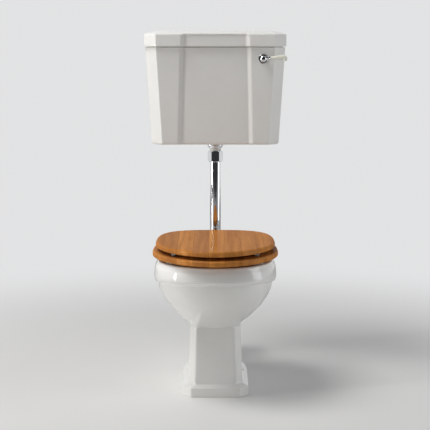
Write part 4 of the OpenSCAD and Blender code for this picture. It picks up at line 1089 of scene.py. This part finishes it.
# %% Finish: glazed china
glazed_china, tree, shader = new_material("glazed_china")
here = grain_space(tree)
tone = blend_colours(tree, remap(tree, cloud(tree, here, 5.0, 5), 0.35, 0.65),
                     (0.815, 0.808, 0.785), (0.85, 0.845, 0.825))
specks = remap(tree, cloud(tree, here, 620.0, 1.0), 0.80, 0.84)
tone = blend_colours(tree, specks, tone, (0.52, 0.46, 0.38))
height = add(tree, "ShaderNodeSeparateXYZ")
feed(height, {0: here})
unglazed = remap(tree, height.outputs["Z"], 0.0012, 0.0020, 1.0, 0.0)
peel = relief(tree, cloud(tree, here, 190.0, 2), 0.00006, 0.5)
waves = relief(tree, cloud(tree, here, 11.0, 2), 0.0012, 0.5, peel)
feed(shader, {
    "Base Color": blend_colours(tree, unglazed, tone, (0.66, 0.63, 0.56)),
    "Roughness": remap(tree, cloud(tree, here, 40.0), 0.3, 0.7, 0.30, 0.42),
    "Specular IOR Level": 0.25,
    "Coat Weight": remap(tree, unglazed, 0, 1, 1.0, 0.0),
    "Coat Roughness": remap(tree, cloud(tree, here, 26.0, 6), 0.3, 0.75, 0.02, 0.07),
    "Coat Normal": waves, "Normal": waves})
print("glazed_china:", len(tree.nodes), "nodes")

# %% [markdown]
# ## Satin oak: staves and grain
# The seat is made of staves about 46 mm wide, glued edge to edge, with the grain running
# from front to back. Each stave comes from another board, so each has its own tone and its
# own piece of grain. Rounding x to whole staves gives a number for each, and that number
# shifts the tone and the grain. The growth rings are long soft stripes, the pores are short
# dark dashes, and the glue lines are hairlines.

# %% Finish: satin oak, staves and grain
STAVE = 0.046
satin_oak, tree, shader = new_material("satin_oak")
coords = add(tree, "ShaderNodeTexCoord").outputs["Object"]
axes = add(tree, "ShaderNodeSeparateXYZ")
feed(axes, {0: coords})
across = sums(tree, "MULTIPLY", sums(tree, "ADD", axes.outputs["X"], STAVE * 20.4), 1 / STAVE)
stave_share = add(tree, "ShaderNodeTexWhiteNoise", noise_dimensions="1D",
                  W=sums(tree, "FLOOR", across))
offset = add(tree, "ShaderNodeVectorMath", operation="SCALE", Scale=7.0)
feed(offset, {0: stave_share.outputs["Color"]})
moved = add(tree, "ShaderNodeVectorMath", operation="ADD")
feed(moved, {0: coords, 1: offset.outputs[0]})


def along_grain(stretch):
    """The stave's own coordinates, drawn out along the grain."""
    return add(tree, "ShaderNodeMapping", Scale=stretch,
               Vector=moved.outputs[0]).outputs["Vector"]


growth = add(tree, "ShaderNodeTexWave", wave_type="BANDS", bands_direction="X", Scale=11.0,
             Distortion=9.0, Detail=3.0, Vector=along_grain((1.0, 0.10, 0.8)))
feed(growth, {"Detail Scale": 1.2})
fibre = cloud(tree, along_grain((420, 9, 420)), 1.0, 5, 0.6)
figure = cloud(tree, along_grain((38, 2.2, 38)), 1.0, 3, 0.5, 0.4)
pores = remap(tree, cloud(tree, along_grain((950, 42, 950)), 1.0, 2), 0.60, 0.70)
from_middle = sums(tree, "ABSOLUTE", sums(tree, "SUBTRACT", sums(tree, "FRACT", across), 0.5))
glue_line = remap(tree, from_middle, 0.491, 0.4975)
print("satin_oak: staves", round(STAVE * 1000), "mm wide")

# %% [markdown]
# ## Satin oak: colour and lacquer
# The colour is laid down in the order of the wood itself: the broad figure, then growth
# rings, fibres, pores, the tone of each stave, and the glue lines last. A satin lacquer lies
# over it. The wood's own reflection made this brown much paler when it was tried, so it is
# switched off, and a thin coat alone carries the gloss.

# %% Finish: satin oak, colour and lacquer
tone = blend_colours(tree, remap(tree, figure, 0.28, 0.72),
                     (0.48, 0.172, 0.033), (0.70, 0.292, 0.068))
for amount, colour in (
        (remap(tree, growth.outputs["Fac"], 0.25, 1.0, 0.0, 0.36), (0.31, 0.105, 0.022)),
        (remap(tree, fibre, 0.42, 0.78, 0.0, 0.45), (0.74, 0.34, 0.10)),
        (sums(tree, "MULTIPLY", pores, 0.62), (0.13, 0.05, 0.018)),
        (remap(tree, stave_share.outputs["Value"], 0, 1, 0.0, 0.62), (0.31, 0.115, 0.034)),
        (sums(tree, "MULTIPLY", glue_line, 0.75), (0.10, 0.038, 0.014))):
    tone = blend_colours(tree, amount, tone, colour)
pits = relief(tree, sums(tree, "MULTIPLY", pores, -1.0), 0.00012, 0.6)
ribs = relief(tree, fibre, 0.00008, 0.5, pits)
rubbed = cloud(tree, along_grain((9, 3, 9)), 1.0, 5)
feed(shader, {
    "Base Color": tone,
    "Roughness": remap(tree, fibre, 0.3, 0.7, 0.36, 0.52),
    "Specular IOR Level": 0.0,
    "Coat Weight": 0.14,
    "Coat Roughness": remap(tree, rubbed, 0.3, 0.7, 0.12, 0.24),
    "Normal": relief(tree, sums(tree, "MULTIPLY", glue_line, -1.0), 0.00015, 0.6, ribs)})
print("satin_oak:", len(tree.nodes), "nodes")

# %% [markdown]
# ## Chrome and brass
# Polished chrome is nearly a mirror. What makes it real is what breaks the mirror: hair
# scratches, soft water marks and a very slight unevenness of the tube. Brass that lives in
# a damp cistern is duller and stained brown in patches.

# %% Finishes: polished chrome and tarnished brass
polished_chrome, tree, shader = new_material("polished_chrome")
here = grain_space(tree)
marks = remap(tree, cloud(tree, here, 55.0, 6, 0.65), 0.50, 0.70)
scratches = relief(tree, cloud(tree, grain_space(tree, (900, 900, 35)), 1.0, 3), 0.000012, 0.5)
feed(shader, {
    "Base Color": blend_colours(tree, marks, (0.80, 0.81, 0.825), (0.71, 0.72, 0.73)),
    "Metallic": 1.0,
    "Roughness": remap(tree, marks, 0, 1, 0.035, 0.13),
    "Normal": relief(tree, cloud(tree, here, 32.0, 2), 0.0002, 0.35, scratches)})
print("polished_chrome:", len(tree.nodes), "nodes")

tarnished_brass, tree, shader = new_material("tarnished_brass")
here = grain_space(tree)
stain = remap(tree, cloud(tree, here, 85.0, 7, 0.62, 0.3), 0.42, 0.66)
feed(shader, {
    "Base Color": blend_colours(tree, stain, (0.78, 0.58, 0.27), (0.40, 0.25, 0.10)),
    "Metallic": 1.0,
    "Roughness": remap(tree, stain, 0, 1, 0.20, 0.48),
    "Normal": relief(tree, cloud(tree, here, 700.0, 3), 0.00004, 0.6)})
print("tarnished_brass:", len(tree.nodes), "nodes")

# %% [markdown]
# ## Cream ceramic
# The grip has a cream glaze with a faint net of hair cracks, as old glaze gets. The edges of
# a cell pattern draw such a net: its distance-to-edge output is near zero only along them.

# %% Finish: cream ceramic
cream_glaze, tree, shader = new_material("cream_glaze")
here = grain_space(tree)
tone = blend_colours(tree, remap(tree, cloud(tree, here, 60.0, 4), 0.35, 0.65),
                     (0.83, 0.82, 0.715), (0.87, 0.862, 0.78))
cracks = add(tree, "ShaderNodeTexVoronoi", feature="DISTANCE_TO_EDGE", Scale=210.0, Vector=here)
hairline = remap(tree, cracks.outputs["Distance"], 0.0, 0.02, 0.22, 0.0)
feed(shader, {
    "Base Color": blend_colours(tree, hairline, tone, (0.42, 0.36, 0.24)),
    "Roughness": 0.34,
    "Coat Weight": 1.0,
    "Coat Roughness": remap(tree, cloud(tree, here, 90.0), 0.3, 0.7, 0.04, 0.09),
    "Normal": relief(tree, cloud(tree, here, 120.0, 2), 0.0001, 0.5)})
print("cream_glaze:", len(tree.nodes), "nodes")

# %% [markdown]
# ## Black and clear rubber
# The sealing rings are moulded rubber, matt with a grey bloom. The buffers are a pale clear
# rubber that has gone a little milky. Light passes through it, so it gets transmission and
# not plain transparency: it then bends what lies behind it.

# %% Finishes: black and clear rubber
black_rubber, tree, shader = new_material("moulded_rubber")
here = grain_space(tree)
bloom = remap(tree, cloud(tree, here, 70.0, 6, 0.6), 0.45, 0.75)
feed(shader, {
    "Base Color": blend_colours(tree, bloom, (0.022, 0.022, 0.023), (0.060, 0.060, 0.060)),
    "Roughness": remap(tree, bloom, 0, 1, 0.48, 0.72),
    "Normal": relief(tree, cloud(tree, here, 900.0, 3), 0.00006, 0.7)})
print("moulded_rubber:", len(tree.nodes), "nodes")

clear_rubber, tree, shader = new_material("clear_rubber")
here = grain_space(tree)
milky = remap(tree, cloud(tree, here, 240.0, 5), 0.35, 0.7)
feed(shader, {
    "Base Color": blend_colours(tree, milky, (0.80, 0.79, 0.73), (0.66, 0.64, 0.57)),
    "IOR": 1.45,
    "Transmission Weight": remap(tree, milky, 0, 1, 0.90, 0.65),
    "Roughness": remap(tree, milky, 0, 1, 0.16, 0.34),
    "Normal": relief(tree, cloud(tree, here, 800.0, 2), 0.00004, 0.5)})
print("clear_rubber:", len(tree.nodes), "nodes")

# %% [markdown]
# ## White and orange plastic
# The siphon and the soil connector are white plastic with soft flow marks from the mould.
# The float is orange plastic with a scuffed skin, paler where it has been rubbed.

# %% Finishes: white and orange plastic
white_plastic, tree, shader = new_material("moulded_white_plastic")
here = grain_space(tree)
flow = cloud(tree, grain_space(tree, (30, 9, 30)), 1.0, 5, 0.6, 0.5)
feed(shader, {
    "Base Color": blend_colours(tree, remap(tree, flow, 0.3, 0.7),
                                (0.74, 0.74, 0.72), (0.80, 0.80, 0.785)),
    "Roughness": remap(tree, cloud(tree, here, 150.0, 5), 0.3, 0.7, 0.26, 0.44),
    "Normal": relief(tree, cloud(tree, here, 1200.0, 2), 0.00003, 0.6,
                     relief(tree, flow, 0.0003, 0.3))})
print("moulded_white_plastic:", len(tree.nodes), "nodes")

float_plastic, tree, shader = new_material("orange_float_plastic")
here = grain_space(tree)
scuff = remap(tree, cloud(tree, grain_space(tree, (220, 40, 120)), 1.0, 6, 0.65), 0.56, 0.72)
tone = blend_colours(tree, remap(tree, cloud(tree, here, 30.0), 0.3, 0.7),
                     (0.66, 0.215, 0.045), (0.76, 0.28, 0.06))
feed(shader, {
    "Base Color": blend_colours(tree, scuff, tone, (0.80, 0.46, 0.24)),
    "Roughness": remap(tree, scuff, 0, 1, 0.40, 0.62),
    "Normal": relief(tree, cloud(tree, here, 600.0, 3), 0.00006, 0.6)})
print("orange_float_plastic:", len(tree.nodes), "nodes")

# %% [markdown]
# ## Putting it together: our own pieces
# Each made piece now gets its finish, the body it rides on, and the names of the CAD parts
# that it stands for. Those parts are hidden, but the model keeps using them for its motion.

# %% Bodies, slots and finishes of our pieces
place(pan, "suite", "glazed_china", glazed_china, "pan_bowl", "pan_trap", "pan_pedestal")
place(cistern, "suite", "glazed_china", glazed_china, "tank")
place(cistern_lid, "cistern_lid", "glazed_china", glazed_china, "tank_lid")
place(seat_ring, "seat", "oak", satin_oak, "seat_ring")
place(seat_lid, "cover", "oak", satin_oak, "seat_lid")
place(flange, "suite", "chrome", polished_chrome, "lever_flange")
place(boss, "lever", "chrome", polished_chrome, "lever_boss")
place(grip, "lever", "cream_ceramic", cream_glaze, "lever_grip")
place(pipe_nut, "suite", "chrome", polished_chrome, "flush_pipe_nut")
place(backnut, "suite", "chrome", polished_chrome, "outlet_backnut")
place(pillars, "suite", "chrome", polished_chrome, "hinge_pillars")
place(ring_buffers, "seat", "clear_buffer", clear_rubber, "seat_buffers")
place(lid_buffers, "cover", "clear_buffer", clear_rubber, "lid_buffers")
print("our pieces stand for", sum(part.hide_render for part in node.values()), "CAD parts")

# %% [markdown]
# ## Putting it together: the CAD's own parts
# All other CAD parts have the right shape already and only take a finish. The CAD names
# each part's material slot, so a table from slot name to finish dresses them all.

# %% Finishes of the remaining CAD parts
finishes = {"glazed_china": glazed_china, "oak": satin_oak, "chrome": polished_chrome,
            "brass": tarnished_brass, "cream_ceramic": cream_glaze,
            "black_rubber": black_rubber, "white_plastic": white_plastic,
            "clear_buffer": clear_rubber, "float_plastic": float_plastic}
kept = [part for part in node.values() if not part.hide_render]
for part in kept:
    for k, material in enumerate(part.data.materials):
        part.data.materials[k] = finishes[material.name.split(".")[0]]
print(len(kept), "CAD parts keep their shape")
